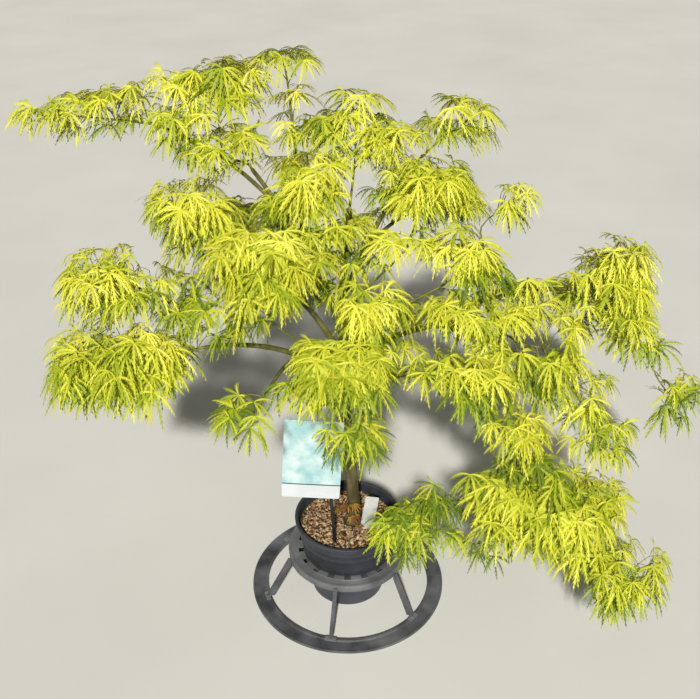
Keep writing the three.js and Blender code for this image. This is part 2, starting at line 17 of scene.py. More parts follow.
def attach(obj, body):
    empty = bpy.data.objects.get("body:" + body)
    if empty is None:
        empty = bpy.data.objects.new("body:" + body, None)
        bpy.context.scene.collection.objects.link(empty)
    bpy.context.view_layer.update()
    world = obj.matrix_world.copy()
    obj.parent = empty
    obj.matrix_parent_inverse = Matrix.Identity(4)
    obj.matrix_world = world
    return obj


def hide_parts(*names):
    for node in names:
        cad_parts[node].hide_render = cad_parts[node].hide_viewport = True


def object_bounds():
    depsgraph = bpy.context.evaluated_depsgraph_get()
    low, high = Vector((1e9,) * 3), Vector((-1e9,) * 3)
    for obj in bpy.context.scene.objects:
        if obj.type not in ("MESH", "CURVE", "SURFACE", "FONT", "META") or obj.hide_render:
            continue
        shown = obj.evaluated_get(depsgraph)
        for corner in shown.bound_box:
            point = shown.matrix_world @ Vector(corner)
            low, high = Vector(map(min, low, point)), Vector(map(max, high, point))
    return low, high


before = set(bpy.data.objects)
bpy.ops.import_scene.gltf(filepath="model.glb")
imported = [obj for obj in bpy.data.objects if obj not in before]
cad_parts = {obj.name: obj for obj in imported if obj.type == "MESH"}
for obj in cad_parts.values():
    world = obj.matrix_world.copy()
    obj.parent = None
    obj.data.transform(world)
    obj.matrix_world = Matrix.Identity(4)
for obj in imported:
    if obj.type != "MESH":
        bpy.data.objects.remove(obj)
cad_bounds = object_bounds()

MM = 0.001
UP = np.array([0.0, 0.0, 1.0])
GOLDEN_ANGLE = pi * (3 - sqrt(5))

# The photograph's camera: where it stands, how far it looks down and its lens
CAMERA_PLACE = (0.005, -1.563, 1.588)
CAMERA_DOWN = 31.9
CAMERA_LENS = 48.86
SENSOR_WIDTH = 36
VIEW_SIZE = (700, 699)

# How many sides round things are drawn with
SIDES = Values(pot=128, soil=96, seat=96, ring=216, trunk=36, bough=14)

# The turn at an edge, in degrees, from which it stays sharp
SHARP_EDGE = 35

# Driving dimensions of the pot, its filling and the stand, as in the solids
CLEARANCE = 0.3
POT = Values(height=195, base=79, wall_top=110, lip=114.5, lip_depth=10, wall=2.5, floor=3,
             ridges=(118, 150, 168))
RIDGE = Values(half=1.6, rise=0.7)
SOIL = Values(top=178, edge_drop=7, crown=70)
COLLAR = Values(top=108, plate=3, outer=131, flange_depth=16, flange_wall=3, notches=18, play=0.6)
NOTCH = Values(width=13, depth=11, flank=0.002)
# A near-black ring under the collar's bore, seen through the notches: painted shade, so that they look dark
SHADE_SEAT = Values(depth=10, width=15, wall=1)
RING = Values(outer=215, inner=180, band=5.5, lip_height=8, lip_width=6, wall=3)
LEG = Values(count=6, first_bearing=-161, width=8, depth=13, foot_width=24, foot_height=3.2, foot_reach=192,
             toe=7, flange=1.1, overhang=4.4, clip=10)

# Driving dimensions of the label, its stick and the plant tag
LABEL_FOOT = (-27, -72, SOIL.top + CLEARANCE)
LABEL = Values(width=119, height=186, thickness=1.2, corner=4, left=109, bottom=119, lean=-3.5, tilt_back=4,
               strip=0.17, line=0.185)
TAG = Values(x=40, y=-31, width=28, length=90, thickness=1.2, corner=3, lean=-8)

# Driving dimensions of the plant
TRUNK = Values(root=13.5, tip=5.5, flare=7, flare_height=22)
TRUNK_POINTS = [(14, 0, SOIL.top + CLEARANCE), (14, 0, 360), (-34, 8, 600), (4, 96, 868)]
STEM = Values(root=2.8, tip=1.2)

# The bark's relief: swellings where leaves once stood, ridges, and lobes round the root
KNUCKLE = Values(first=(15, 40), step=(28, 62), rise=(0.07, 0.14), width=2.6)
BARK = Values(row=2.5, ridge=0.05, grain=0.025, collar=0.45, collar_length=9)
ROOT_LOBES = Values(count=5, rise=0.12, height=14)

# Leaves: their reach, their sprays' spacing as a share of it, breadth and droop of the lobes, and stalks
LEAF = Values(radius=72, spacing=0.4, breadth=1, droop=(0.7, 1.45), petiole=22, petiole_radius=0.75,
              twig_radius=1.15)
SHOOT_LEAF = Values(radius=24, spacing=0.9, breadth=3.4, droop=(0.5, 0.8), petiole=10, petiole_radius=0.35,
                    twig_radius=0.5)

# Places for sprays in a puff: how many for its size, their levels, their depths and the room that leaves need
SPRAY = Values(share=8, top=0.96, fall=1.5, depth=0.72, more_depth=0.46, inset=(0.42, 0.42, 0.32),
               least_room=0.4, lift=0.28)
SHELLS = (1, 0.45)

# Tiers that the sprays gather in: from one to the next, their fall from the trunk outwards, and their pull
TIER = Values(rise=62, slope=0.25, pull=0.55)

# Sprays along a bough: where they start on it, how far apart their puffs are, the puffs' half sizes and lift,
# how far out leaves reach, the leaves' size and their steps of painted shade, which make their tone more
# green
ALONG = Values(start=0.3, trunk_start=0.6, step=55, half=(52, 52, 38), lift=12, skin=2.4, size=0.9,
               greener=0.6)

# How far out in its mass a leaf's tip may hang, where 1 is the puffs' skin
TIP_SKIN = 1.3

# A spray's tone: its mean, and how it grows with the level in a mass, nearness to the skin and height
TONE = Values(mean=1.25, level=0.35, puff_height=160, skin=2.6, mean_skin=0.55, mean_height=620, height=1400,
              spread=0.5)

# How far leaves keep off the pot, the stand's ring and the card, whose lean is given as a slope
KEEP_OFF = 8
RING_KEEP_OFF = 6
CARD_ROOM = Values(slope=0.07, depth=9, left=10, sides=34, above=10)
LIMB_KEEP_OFF = Values(twig=2.5, leaf=7)

# Openings in the crown as the photograph shows them: middle across and down, and half sizes, in pixels
CROWN_GAPS = [
    (541, 258, 38, 28), (664, 285, 14, 40), (672, 335, 12, 18), (150, 160, 14, 12), (138, 262, 16, 10),
    (437, 284, 16, 13), (436, 338, 13, 12), (48, 290, 14, 34), (487, 184, 14, 16), (360, 204, 10, 14),
    (402, 228, 22, 14), (256, 184, 28, 20), (200, 138, 10, 6), (172, 62, 26, 14), (34, 100, 22, 10),
    (428, 108, 16, 12), (135, 225, 15, 30), (413, 266, 12, 14), (313, 322, 34, 20), (262, 360, 38, 30),
    (207, 382, 30, 22), (272, 412, 18, 14), (390, 388, 18, 14), (538, 342, 34, 20), (620, 404, 20, 18),
    (424, 428, 24, 46), (462, 446, 20, 34), (484, 462, 12, 26), (352, 520, 20, 40), (268, 124, 11, 22),
    (176, 412, 24, 14), (492, 230, 14, 18), (520, 272, 24, 9), (560, 588, 40, 20), (640, 562, 14, 12),
]

# How far the leaves may reach: the solids' box with a little more on every side
REACH_MARGIN = 24
REACH = (np.array(cad_bounds[0]) / MM - REACH_MARGIN, np.array(cad_bounds[1]) / MM + REACH_MARGIN)

# Boughs: name, parent, where on it, end, arch and radii at foot and tip
BOUGHS = [
    ("back_left", "trunk", 0.66, (-182, 158, 922), 60, (6.5, 4)),
    ("left_arm", "back_left", 0.72, (-366, 205, 992), 55, (4.2, 3.4)),
    ("back_top", "back_left", 0.5, (-108, 232, 1004), 30, (4, 3.2)),
    ("back_right", "trunk", 0.74, (128, 168, 925), 50, (6, 4)),
    ("back_low", "back_right", 0.35, (150, 262, 795), 30, (4, 3.2)),
    ("left", "trunk", 0.58, (-205, 28, 832), 55, (6.5, 4)),
    ("left_middle", "left", 0.42, (-212, -14, 752), 45, (4.2, 3.4)),
    ("left_rear", "left", 0.42, (-180, 225, 740), 60, (4, 3.2)),
    ("left_front", "trunk", 0.5, (-262, -72, 664), 75, (6.5, 4)),
    ("front_left", "left_front", 0.38, (-146, -164, 622), 30, (4, 3.2)),
    ("front", "trunk", 0.46, (-14, -84, 650), 50, (5.5, 4)),
    ("right", "trunk", 0.54, (256, -26, 688), 75, (7, 4.2)),
    ("right_back", "right", 0.68, (426, 60, 716), 50, (4.4, 3.4)),
    ("right_outer", "right", 0.7, (424, -44, 560), 40, (4.2, 3.4)),
    ("right_rear", "right_back", 0.3, (462, 240, 606), 60, (3.8, 3)),
    ("right_front", "trunk", 0.42, (116, -92, 622), 40, (6.5, 4)),
    ("low_right", "right_front", 0.6, (266, -112, 548), 70, (4.4, 3.4)),
    ("low_tip", "low_right", 0.6, (446, -190, 320), 50, (3.8, 3)),
    ("low_small", "low_tip", 0.5, (214, -158, 360), 10, (3.4, 3)),
]

# Masses: name, limb, where on it, and puffs as centre and half sizes
MASSES = [
    ("left_arm", "left_arm", 1, [(-526, 222, 1006, 152, 86, 46)]),
    ("back_left", "back_left", 1, [(-236, 165, 956, 118, 80, 55), (-264, 262, 1046, 124, 90, 66)]),
    ("back_top", "back_top", 1, [(-120, 290, 1076, 74, 78, 52)]),
    ("centre_top", "trunk", 1, [(14, 140, 942, 66, 56, 48), (18, 182, 996, 76, 74, 66)]),
    ("back_right", "back_right", 1, [(205, 222, 980, 94, 76, 56)]),
    ("back_low", "back_low", 1, [(200, 350, 775, 120, 100, 85)]),
    ("left_dome", "left", 1, [(-290, 50, 876, 104, 90, 74)]),
    ("centre_left", "trunk", 0.8, [(-92, 70, 910, 98, 88, 72)]),
    ("centre_right", "trunk", 0.72, [(104, 26, 812, 84, 72, 56), (160, 94, 908, 98, 86, 72)]),
    ("right_centre", "trunk", 0.64, [(226, -14, 800, 88, 84, 80), (304, 116, 864, 58, 60, 50)]),
    ("centre", "trunk", 0.55, [(-134, -108, 742, 92, 72, 56), (-145, -58, 826, 112, 90, 70)]),
    ("inner", "trunk", 0.52, [(45, -74, 726, 76, 66, 62), (202, -66, 722, 88, 70, 54)]),
    ("left_middle", "left_middle", 1, [(-276, -34, 720, 86, 74, 58), (-418, -20, 764, 138, 100, 66)]),
    ("left_rear", "left_rear", 1, [(-215, 330, 725, 125, 100, 80)]),
    ("left_front", "left_front", 1, [(-398, -100, 634, 160, 118, 96)]),
    ("front_left", "front_left", 1, [(-170, -206, 602, 76, 72, 62)]),
    ("front", "front", 1, [(-18, -146, 636, 112, 92, 88), (14, -128, 478, 68, 60, 62)]),
    ("right_middle", "right", 1, [(340, -42, 648, 112, 104, 106)]),
    ("right_back", "right_back", 1, [(526, 84, 698, 118, 108, 106), (668, 20, 482, 66, 66, 80)]),
    ("right_outer", "right_outer", 1, [(490, -52, 482, 84, 82, 98)]),
    ("right_rear", "right_rear", 1, [(556, 306, 545, 112, 96, 86)]),
    ("right_front", "right_front", 1, [(202, -126, 616, 98, 88, 68)]),
    ("low_right", "low_right", 1, [(314, -126, 476, 78, 78, 94), (386, -150, 342, 168, 108, 94)]),
    ("low_tip", "low_tip", 1, [(512, -226, 236, 112, 84, 90)]),
    ("low_small", "low_small", 1, [(138, -150, 284, 98, 74, 78)]),
    ("low_shoot", "trunk", 0.04, [(0, -34, 222, 27, 25, 34)]),
]

# Masses whose tones are made more green and darker than the rest as painted shade, in steps of tone
PAINTED_SHADE_STEPS = {"front": 0.8, "low_small": 0.9, "left_dome": 0.2, "right_back": 0.3}

# Smaller puffs that some masses' finer twigs fill as well
TUFTS = {
    "left_arm": [
        (-500, 205, 985, 64, 50, 30), (-420, 215, 1040, 60, 50, 34), (-352, 195, 1018, 46, 42, 30),
        (-410, 205, 1000, 56, 50, 26), (-372, 215, 1000, 50, 46, 30), (-305, 160, 966, 60, 46, 34),
    ],
    "back_left": [
        (-290, 200, 1002, 56, 50, 34), (-205, 200, 1020, 50, 44, 34), (-250, 128, 925, 54, 44, 34),
    ],
    "back_top": [(-138, 190, 975, 60, 44, 36), (-106, 250, 1022, 40, 36, 26)],
    "centre_top": [
        (-58, 150, 1024, 52, 50, 40), (90, 122, 985, 84, 56, 46), (-70, 140, 965, 48, 44, 32),
        (0, 175, 1035, 52, 46, 30), (36, 180, 1030, 46, 44, 30),
    ],
    "centre_left": [(-40, 0, 856, 50, 50, 34), (0, 36, 838, 56, 40, 44)],
    "back_right": [(165, 185, 955, 44, 40, 28)],
    "left_dome": [(-295, 20, 815, 70, 56, 34), (-300, 50, 782, 60, 50, 32)],
    "left_front": [(-275, -50, 678, 56, 50, 30)],
    "left_middle": [(-588, -20, 748, 34, 30, 24)],
    "inner": [(-2, 0, 748, 52, 36, 40), (112, -62, 680, 46, 40, 34)],
    "right_middle": [(394, -40, 545, 60, 56, 40), (352, -56, 540, 50, 46, 34), (404, -62, 505, 52, 46, 30)],
    "right_back": [(572, 40, 592, 84, 60, 56), (640, 10, 430, 50, 44, 34)],
    "right_outer": [(516, -62, 404, 60, 56, 42)],
    "low_right": [(280, -172, 240, 60, 46, 36)],
    "low_small": [(184, -140, 372, 46, 46, 30)],
    "low_tip": [(505, -230, 172, 60, 48, 32)],
    "front": [(-62, -152, 600, 42, 40, 26), (70, -150, 600, 38, 36, 26), (-32, -150, 520, 38, 36, 28)],
    "low_shoot": [(8, -42, 250, 20, 18, 22), (14, -52, 200, 20, 14, 14)],
}


def srgb(red, green, blue):
    """A colour given in 0 to 255 screen values, as the linear colour that a shader takes."""
    def linear(value):
        value /= 255
        return value / 12.92 if value <= 0.04045 else ((value + 0.055) / 1.055) ** 2.4
    return (linear(red), linear(green), linear(blue), 1)


# Materials
def new_material(name, roughness, specular=0.5):
    material = bpy.data.materials.new(name)
    material.use_nodes = True
    shader = material.node_tree.nodes["Principled BSDF"]
    shader.inputs["Roughness"].default_value = roughness
    shader.inputs["Specular IOR Level"].default_value = specular
    return material, material.node_tree, shader


def noise_node(tree, scale, detail, stretch=(1, 1, 1), roughness=0.55):
    place = tree.nodes.new("ShaderNodeTexCoord")
    mapping = tree.nodes.new("ShaderNodeMapping")
    mapping.inputs["Scale"].default_value = stretch
    texture = tree.nodes.new("ShaderNodeTexNoise")
    texture.inputs["Scale"].default_value = scale
    texture.inputs["Detail"].default_value = detail
    texture.inputs["Roughness"].default_value = roughness
    tree.links.new(place.outputs["Object"], mapping.inputs["Vector"])
    tree.links.new(mapping.outputs["Vector"], texture.inputs["Vector"])
    return texture.outputs["Fac"]


def add_colour(tree, shader, value, stops):
    ramp = tree.nodes.new("ShaderNodeValToRGB")
    elements = ramp.color_ramp.elements
    while len(elements) < len(stops):
        elements.new(0.5)
    for element, (position, colour) in zip(elements, stops):
        element.position = position
        element.color = srgb(*colour)
    tree.links.new(value, ramp.inputs["Fac"])
    tree.links.new(ramp.outputs["Color"], shader.inputs["Base Color"])


def add_bump(tree, shader, value, depth, before=None):
    bump = tree.nodes.new("ShaderNodeBump")
    bump.inputs["Strength"].default_value = 1.0
    bump.inputs["Distance"].default_value = depth * MM
    tree.links.new(value, bump.inputs["Height"])
    if before:
        tree.links.new(before, bump.inputs["Normal"])
    tree.links.new(bump.outputs["Normal"], shader.inputs["Normal"])
    return bump.outputs["Normal"]


def add_roughness(tree, shader, value, low, high):
    spread = tree.nodes.new("ShaderNodeMapRange")
    spread.inputs["To Min"].default_value = low
    spread.inputs["To Max"].default_value = high
    tree.links.new(value, spread.inputs["Value"])
    tree.links.new(spread.outputs["Result"], shader.inputs["Roughness"])


def moulded_plastic(name, dark, light, roughness, dust_scale=9):
    """Matte moulded plastic: faint dust in clouds, dents, a fine grain and slightly uneven gloss."""
    material, tree, shader = new_material(name, roughness, specular=0.4)
    clouds = noise_node(tree, dust_scale, detail=6)
    add_colour(tree, shader, clouds, [(0.36, dark), (0.66, light)])
    add_roughness(tree, shader, clouds, roughness - 0.1, roughness + 0.12)
    dents = add_bump(tree, shader, noise_node(tree, scale=60, detail=4), depth=0.25)
    add_bump(tree, shader, noise_node(tree, scale=900, detail=3), depth=0.06, before=dents)
    return material


def bark_material(name, stops, depth):
    """Young bark: streaks up and down in its colour and relief, and small pits."""
    material, tree, shader = new_material(name, roughness=0.72, specular=0.3)
    streaks = noise_node(tree, scale=70, detail=8, stretch=(1, 1, 0.25))
    add_colour(tree, shader, streaks, stops)
    add_roughness(tree, shader, streaks, 0.62, 0.85)
    pits = tree.nodes.new("ShaderNodeTexVoronoi")
    pits.inputs["Scale"].default_value = 240
    relief = add_bump(tree, shader, streaks, depth)
    add_bump(tree, shader, pits.outputs["Distance"], 0.5 * depth, before=relief)
    return material


def leaf_material(name, colour, roughness=0.52):
    """A satin leaf in one plain colour, with fine veins in its relief only."""
    material, tree, shader = new_material(name, roughness, specular=0.22)
    shader.inputs["Base Color"].default_value = srgb(*colour)
    veins = noise_node(tree, scale=420, detail=3)
    add_roughness(tree, shader, veins, roughness - 0.08, roughness + 0.1)
    add_bump(tree, shader, veins, depth=0.12)
    return material


def chip_material(name, dark, light):
    """Dry, rough bark or moss in two tones."""
    material, tree, shader = new_material(name, roughness=0.9, specular=0.2)
    grain = noise_node(tree, scale=160, detail=7, roughness=0.65)
    add_colour(tree, shader, grain, [(0.35, dark), (0.65, light)])
    add_bump(tree, shader, grain, depth=0.7)
    return material


LEAF_TONES = [
    leaf_material("leaf_shade", (100, 124, 22)),
    leaf_material("leaf_green", (154, 172, 34)),
    leaf_material("leaf_lime", (196, 201, 50)),
    leaf_material("leaf_yellow_lime", (219, 220, 66)),
    leaf_material("leaf_sun", (236, 236, 90)),
]
# The low shoot's bronze leaves: their own colour, muted darker in part as painted shade at the trunk's foot
BRONZE_TONES = [
    leaf_material("leaf_bronze", (132, 98, 40)),
    leaf_material("leaf_copper", (158, 124, 50)),
    leaf_material("leaf_rust", (116, 74, 36)),
]
PETIOLE_TONES = [
    leaf_material("petiole_green", (168, 182, 70), 0.5),
    leaf_material("petiole_pink", (176, 142, 84), 0.5),
]
# Trunk and bough bark: their own olive colour, darkened in part as painted shade from the crown over them
TRUNK_BARK = bark_material(
    "trunk_bark", [(0.3, (58, 53, 30)), (0.5, (86, 79, 47)), (0.72, (120, 111, 76))], 0.7)
BOUGH_BARK = bark_material(
    "bough_bark", [(0.3, (70, 70, 34)), (0.5, (102, 102, 48)), (0.72, (132, 128, 76))], 0.5)
TWIG_BARK = bark_material(
    "twig_bark", [(0.3, (96, 104, 40)), (0.55, (136, 142, 58)), (0.75, (148, 126, 76))], 0.25)
POT_PLASTIC = moulded_plastic("pot_plastic", (42, 45, 52), (68, 72, 82), 0.5)
STAND_PLASTIC = moulded_plastic("stand_plastic", (60, 62, 66), (108, 110, 114), 0.58, 14)
# The collar's plastic is paler than the stand's other plastic: partly weathering, partly painted sunlight on
# its top
COLLAR_PLASTIC = moulded_plastic("collar_plastic", (84, 86, 90), (128, 130, 132), 0.6, 14)
CLIP_PLASTIC = moulded_plastic("clip_plastic", (92, 94, 98), (140, 142, 146), 0.55, 20)
# The stick's own black plastic, which also paints the shade under the collar's notches
STICK_AND_SHADE_PLASTIC = moulded_plastic("stick_and_shade_plastic", (24, 25, 27), (40, 41, 44), 0.45, 20)
TAG_PLASTIC = moulded_plastic("tag_plastic", (190, 194, 190), (214, 216, 212), 0.42, 20)
CARD_PANEL = moulded_plastic("card_panel", (154, 200, 206), (214, 234, 234), 0.35, 32)
CARD_STRIP = moulded_plastic("card_strip", (200, 208, 214), (218, 224, 228), 0.35, 12)
CARD_LINE = moulded_plastic("card_line", (48, 74, 84), (72, 100, 108), 0.35, 12)
SOIL_DARK = chip_material("soil_dark", (48, 36, 26), (92, 70, 48))
MOSS = chip_material("moss", (70, 78, 28), (118, 124, 52))
CHIP_TONES = [
    chip_material("chip_cream", (176, 146, 108), (226, 204, 168)),
    chip_material("chip_tan", (140, 104, 68), (198, 160, 118)),
    chip_material("chip_brown", (92, 62, 40), (142, 102, 70)),
    chip_material("chip_grey", (110, 98, 84), (164, 152, 134)),
]


# Meshes
class Build:
    """Points and triangles gathered for one mesh, with a material for each triangle."""

    def __init__(self):
        self.points = []
        self.triangles = []
        self.materials = []
        self.count = 0
        self.size = 0

    def add(self, points, triangles, material=0):
        self.points.append(points)
        self.triangles.append(triangles + self.count)
        self.materials.append(np.broadcast_to(material, len(triangles)))
        self.count += len(points)
        self.size += len(triangles)

    def join(self, other):
        self.points += other.points
        self.triangles += [rows + self.count for rows in other.triangles]
        self.materials += other.materials
        self.count += other.count
        self.size += other.size

    def object(self, name, materials):
        mesh = bpy.data.meshes.new(name)
        points = np.concatenate(self.points) * MM
        triangles = np.concatenate(self.triangles)
        mesh.vertices.add(len(points))
        mesh.vertices.foreach_set("co", points.astype(np.float32).ravel())
        mesh.loops.add(triangles.size)
        mesh.loops.foreach_set("vertex_index", triangles.astype(np.int32).ravel())
        mesh.polygons.add(len(triangles))
        mesh.polygons.foreach_set("loop_start", np.arange(0, triangles.size, 3, dtype=np.int32))
        mesh.polygons.foreach_set("material_index", np.concatenate(self.materials).astype(np.int32))
        mesh.polygons.foreach_set("use_smooth", np.ones(len(triangles), dtype=bool))
        mesh.update(calc_edges=True)
        return as_piece(name, mesh, materials)


def as_piece(name, mesh, materials):
    for material in materials:
        mesh.materials.append(material)
    piece = bpy.data.objects.new(name, mesh)
    bpy.context.scene.collection.objects.link(piece)
    return piece


def settle(piece, slot, *nodes):
    """Rides a piece on the plant's one body, in place of its solids; the slot argument is not used."""
    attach(piece, "root")
    if nodes:
        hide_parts(*nodes)


def made_piece(name, points, faces, materials, face_materials=None):
    """A piece from points in millimetres, with doubled points joined and sharp edges kept sharp."""
    mesh = bpy.data.meshes.new(name)
    mesh.from_pydata([tuple(MM * value for value in point) for point in points], [], faces)
    if face_materials is not None:
        mesh.polygons.foreach_set("material_index", np.array(face_materials, dtype=np.int32))
    work = bmesh.new()
    work.from_mesh(mesh)
    bmesh.ops.remove_doubles(work, verts=work.verts, dist=1e-6)
    bmesh.ops.dissolve_degenerate(work, edges=work.edges, dist=1e-7)
    bmesh.ops.recalc_face_normals(work, faces=work.faces)
    for edge in work.edges:
        edge.smooth = len(edge.link_faces) == 2 and edge.calc_face_angle() < radians(SHARP_EDGE)
    for face in work.faces:
        face.smooth = True
    work.to_mesh(mesh)
    work.free()
    return as_piece(name, mesh, materials)


def rounded(corners, steps=4):
    """An outline with its corners rounded: each corner is two coordinates and a fillet radius."""
    points = []
    count = len(corners)
    for i, (x, y, radius) in enumerate(corners):
        corner = np.array([x, y], float)
        before = np.array(corners[(i - 1) % count][:2], float) - corner
        after = np.array(corners[(i + 1) % count][:2], float) - corner
        if radius == 0:
            points.append(tuple(corner))
            continue
        reach = min(radius, 0.45 * norm(before), 0.45 * norm(after))
        start = corner + before / norm(before) * reach
        end = corner + after / norm(after) * reach
        for share in np.linspace(0, 1, steps + 1):
            point = start * (1 - share) ** 2 + 2 * corner * share * (1 - share) + end * share ** 2
            points.append(tuple(point))
    return points


def turned_mesh(profile_at, bearings, closed):
    """Points and faces of a profile turned round Z; the profile may change with the bearing."""
    rows = [[(r * cos(a), r * sin(a), z) for r, z in profile_at(a)] for a in bearings]
    width = len(rows[0])
    points = [point for row in rows for point in row]
    faces = []
    for i in range(len(rows)):
        for j in range(width if closed else width - 1):
            here, there = i * width, (i + 1) % len(rows) * width
            step = (j + 1) % width
            faces.append((here + j, there + j, there + step, here + step))
    return points, faces


def even_bearings(count):
    return [2 * pi * k / count for k in range(count)]


# The pot and its filling
def pot_radius(height):
    """The pot's outer radius on its tapering wall."""
    share = min(height / (POT.height - POT.lip_depth), 1)
    return POT.base + (POT.wall_top - POT.base) * share


def make_pot():
    lip_foot = POT.height - POT.lip_depth
    inside = POT.wall_top - POT.wall
    ridges = []
    for height in POT.ridges:
        low, high = height - RIDGE.half, height + RIDGE.half
        crest = (pot_radius(height) + RIDGE.rise, height, 0.8)
        ridges += [(pot_radius(low), low, 0), crest, (pot_radius(high), high, 0)]
    corners = [
        (0, 0, 0), (POT.base - 6, 0, 0), (POT.base, 0, 2.5), *ridges,
        (POT.wall_top, lip_foot, 0.8), (POT.lip - 0.6, lip_foot, 1.2),
        (POT.lip, POT.height - 4, 0.5), (POT.lip, POT.height, 3),
        (inside, POT.height, 2.4), (inside - 0.4, lip_foot - 4, 3),
        (POT.base - POT.wall, POT.floor, 3), (0, POT.floor, 0),
    ]
    profile = rounded(corners)
    points, faces = turned_mesh(lambda bearing: profile, even_bearings(SIDES.pot), False)
    settle(made_piece("pot_shell", points, faces, [POT_PLASTIC]), "pot_plastic", "pot")


# The mulch: waves of its bed, and the ranges that its chips and the moss are drawn from
SOIL_WAVE = Values(height=1.4, length=11)
CHIP = Values(count=1600, length=(5, 13), width=(0.35, 0.65), thickness=(1, 2.2), lift=(0.2, 3.2),
              pitch=(-24, 24), roll=(-30, 30), tone_shares=(0.3, 0.34, 0.24, 0.12))
MOSS_CLUMP = Values(count=420, off_wall=(3, 13), size=(2, 5), lift=(-0.5, 1))


def soil_height(reach):
    """The mulch's mean height at a distance from the pot's axis."""
    edge = pot_radius(SOIL.top - SOIL.edge_drop) - POT.wall
    share = max(0, (reach - SOIL.crown) / (edge - SOIL.crown))
    return SOIL.top - SOIL.edge_drop * share


def chip_points(rng, length, width, thickness):
    """One flat splinter of bark: an uneven six-sided plate with a smaller top."""
    bearings = np.linspace(0, 2 * pi, 7)[:-1] + rng.uniform(-0.25, 0.25, 6)
    reach = rng.uniform(0.75, 1.1, 6)
    rim = np.stack([length / 2 * reach * np.cos(bearings), width / 2 * reach * np.sin(bearings),
                    rng.uniform(-0.2, 0.2, 6) * thickness], 1)
    top = rim * [0.82, 0.7, 1] + [0, 0, thickness * 0.6]
    bottom = rim * [0.8, 0.7, 1] - [0, 0, thickness * 0.4]
    return np.concatenate([bottom, rim, top])


def chip_triangles():
    triangles = []
    for k in range(6):
        step = (k + 1) % 6
        for low, high in ((0, 6), (6, 12)):
            triangles += [(low + k, low + step, high + step), (low + k, high + step, high + k)]
    triangles += [(12, 12 + k, 13 + k) for k in range(1, 5)] + [(0, 1 + k, k) for k in range(1, 5)]
    return np.array(triangles)


def turn_about(axis, degrees):
    return np.array(Matrix.Rotation(radians(degrees), 3, axis))


def make_soil():
    """The soil's surface, with loose bark chips over it and moss along the pot's wall."""
    edge = pot_radius(SOIL.top - SOIL.edge_drop) - POT.wall - CLEARANCE

    def profile(bearing):
        rows = [(0, soil_height(0) - 1)]
        for reach in np.linspace(6, edge - 0.8, 22):
            spot = Vector((reach * cos(bearing), reach * sin(bearing), 0)) / SOIL_WAVE.length
            rows.append((reach, soil_height(reach) - 1 + SOIL_WAVE.height * noise.noise(spot)))
        foot, foot_edge = POT.floor + CLEARANCE, POT.base - POT.wall - CLEARANCE
        return rows + [(edge, soil_height(edge) - 3), (foot_edge, foot), (0, foot)]

    points, faces = turned_mesh(profile, even_bearings(SIDES.soil), False)
    settle(made_piece("soil_bed", points, faces, [SOIL_DARK]), "mulch", "soil")
    rng = np.random.default_rng(11)
    chips, moss = Build(), Build()
    triangles = chip_triangles()
    for k in range(CHIP.count):
        reach = (edge - 6) * sqrt((k + 0.5) / CHIP.count)
        bearing = k * GOLDEN_ANGLE + rng.uniform(-0.2, 0.2)
        place = np.array([reach * cos(bearing), reach * sin(bearing), 0])
        length = rng.uniform(*CHIP.length)
        turn = turn_about("Z", rng.uniform(0, 360)) @ turn_about("Y", rng.uniform(*CHIP.pitch))
        turn = turn @ turn_about("X", rng.uniform(*CHIP.roll))
        width = length * rng.uniform(*CHIP.width)
        shape = chip_points(rng, length, width, rng.uniform(*CHIP.thickness)) @ turn.T
        chip = shape + place + [0, 0, soil_height(reach) + rng.uniform(*CHIP.lift)]
        near_trunk = norm(place[:2] - TRUNK_POINTS[0][:2]) < TRUNK.root + TRUNK.flare + 5
        if near_trunk or np.hypot(chip[:, 0], chip[:, 1]).max() > edge - 1:
            continue
        chips.add(chip, triangles, int(rng.choice(len(CHIP_TONES), p=CHIP.tone_shares)))
    settle(chips.object("bark_chips", CHIP_TONES), "mulch")
    for k in range(MOSS_CLUMP.count):
        bearing = rng.uniform(0, 2 * pi)
        reach = edge - rng.uniform(*MOSS_CLUMP.off_wall)
        size = rng.uniform(*MOSS_CLUMP.size)
        lift = soil_height(reach) + rng.uniform(*MOSS_CLUMP.lift)
        clump = chip_points(rng, size, size * 0.9, size * 0.8)
        moss.add(clump + [reach * cos(bearing), reach * sin(bearing), lift], triangles)
    settle(moss.object("moss_edge", [MOSS]), "mulch")


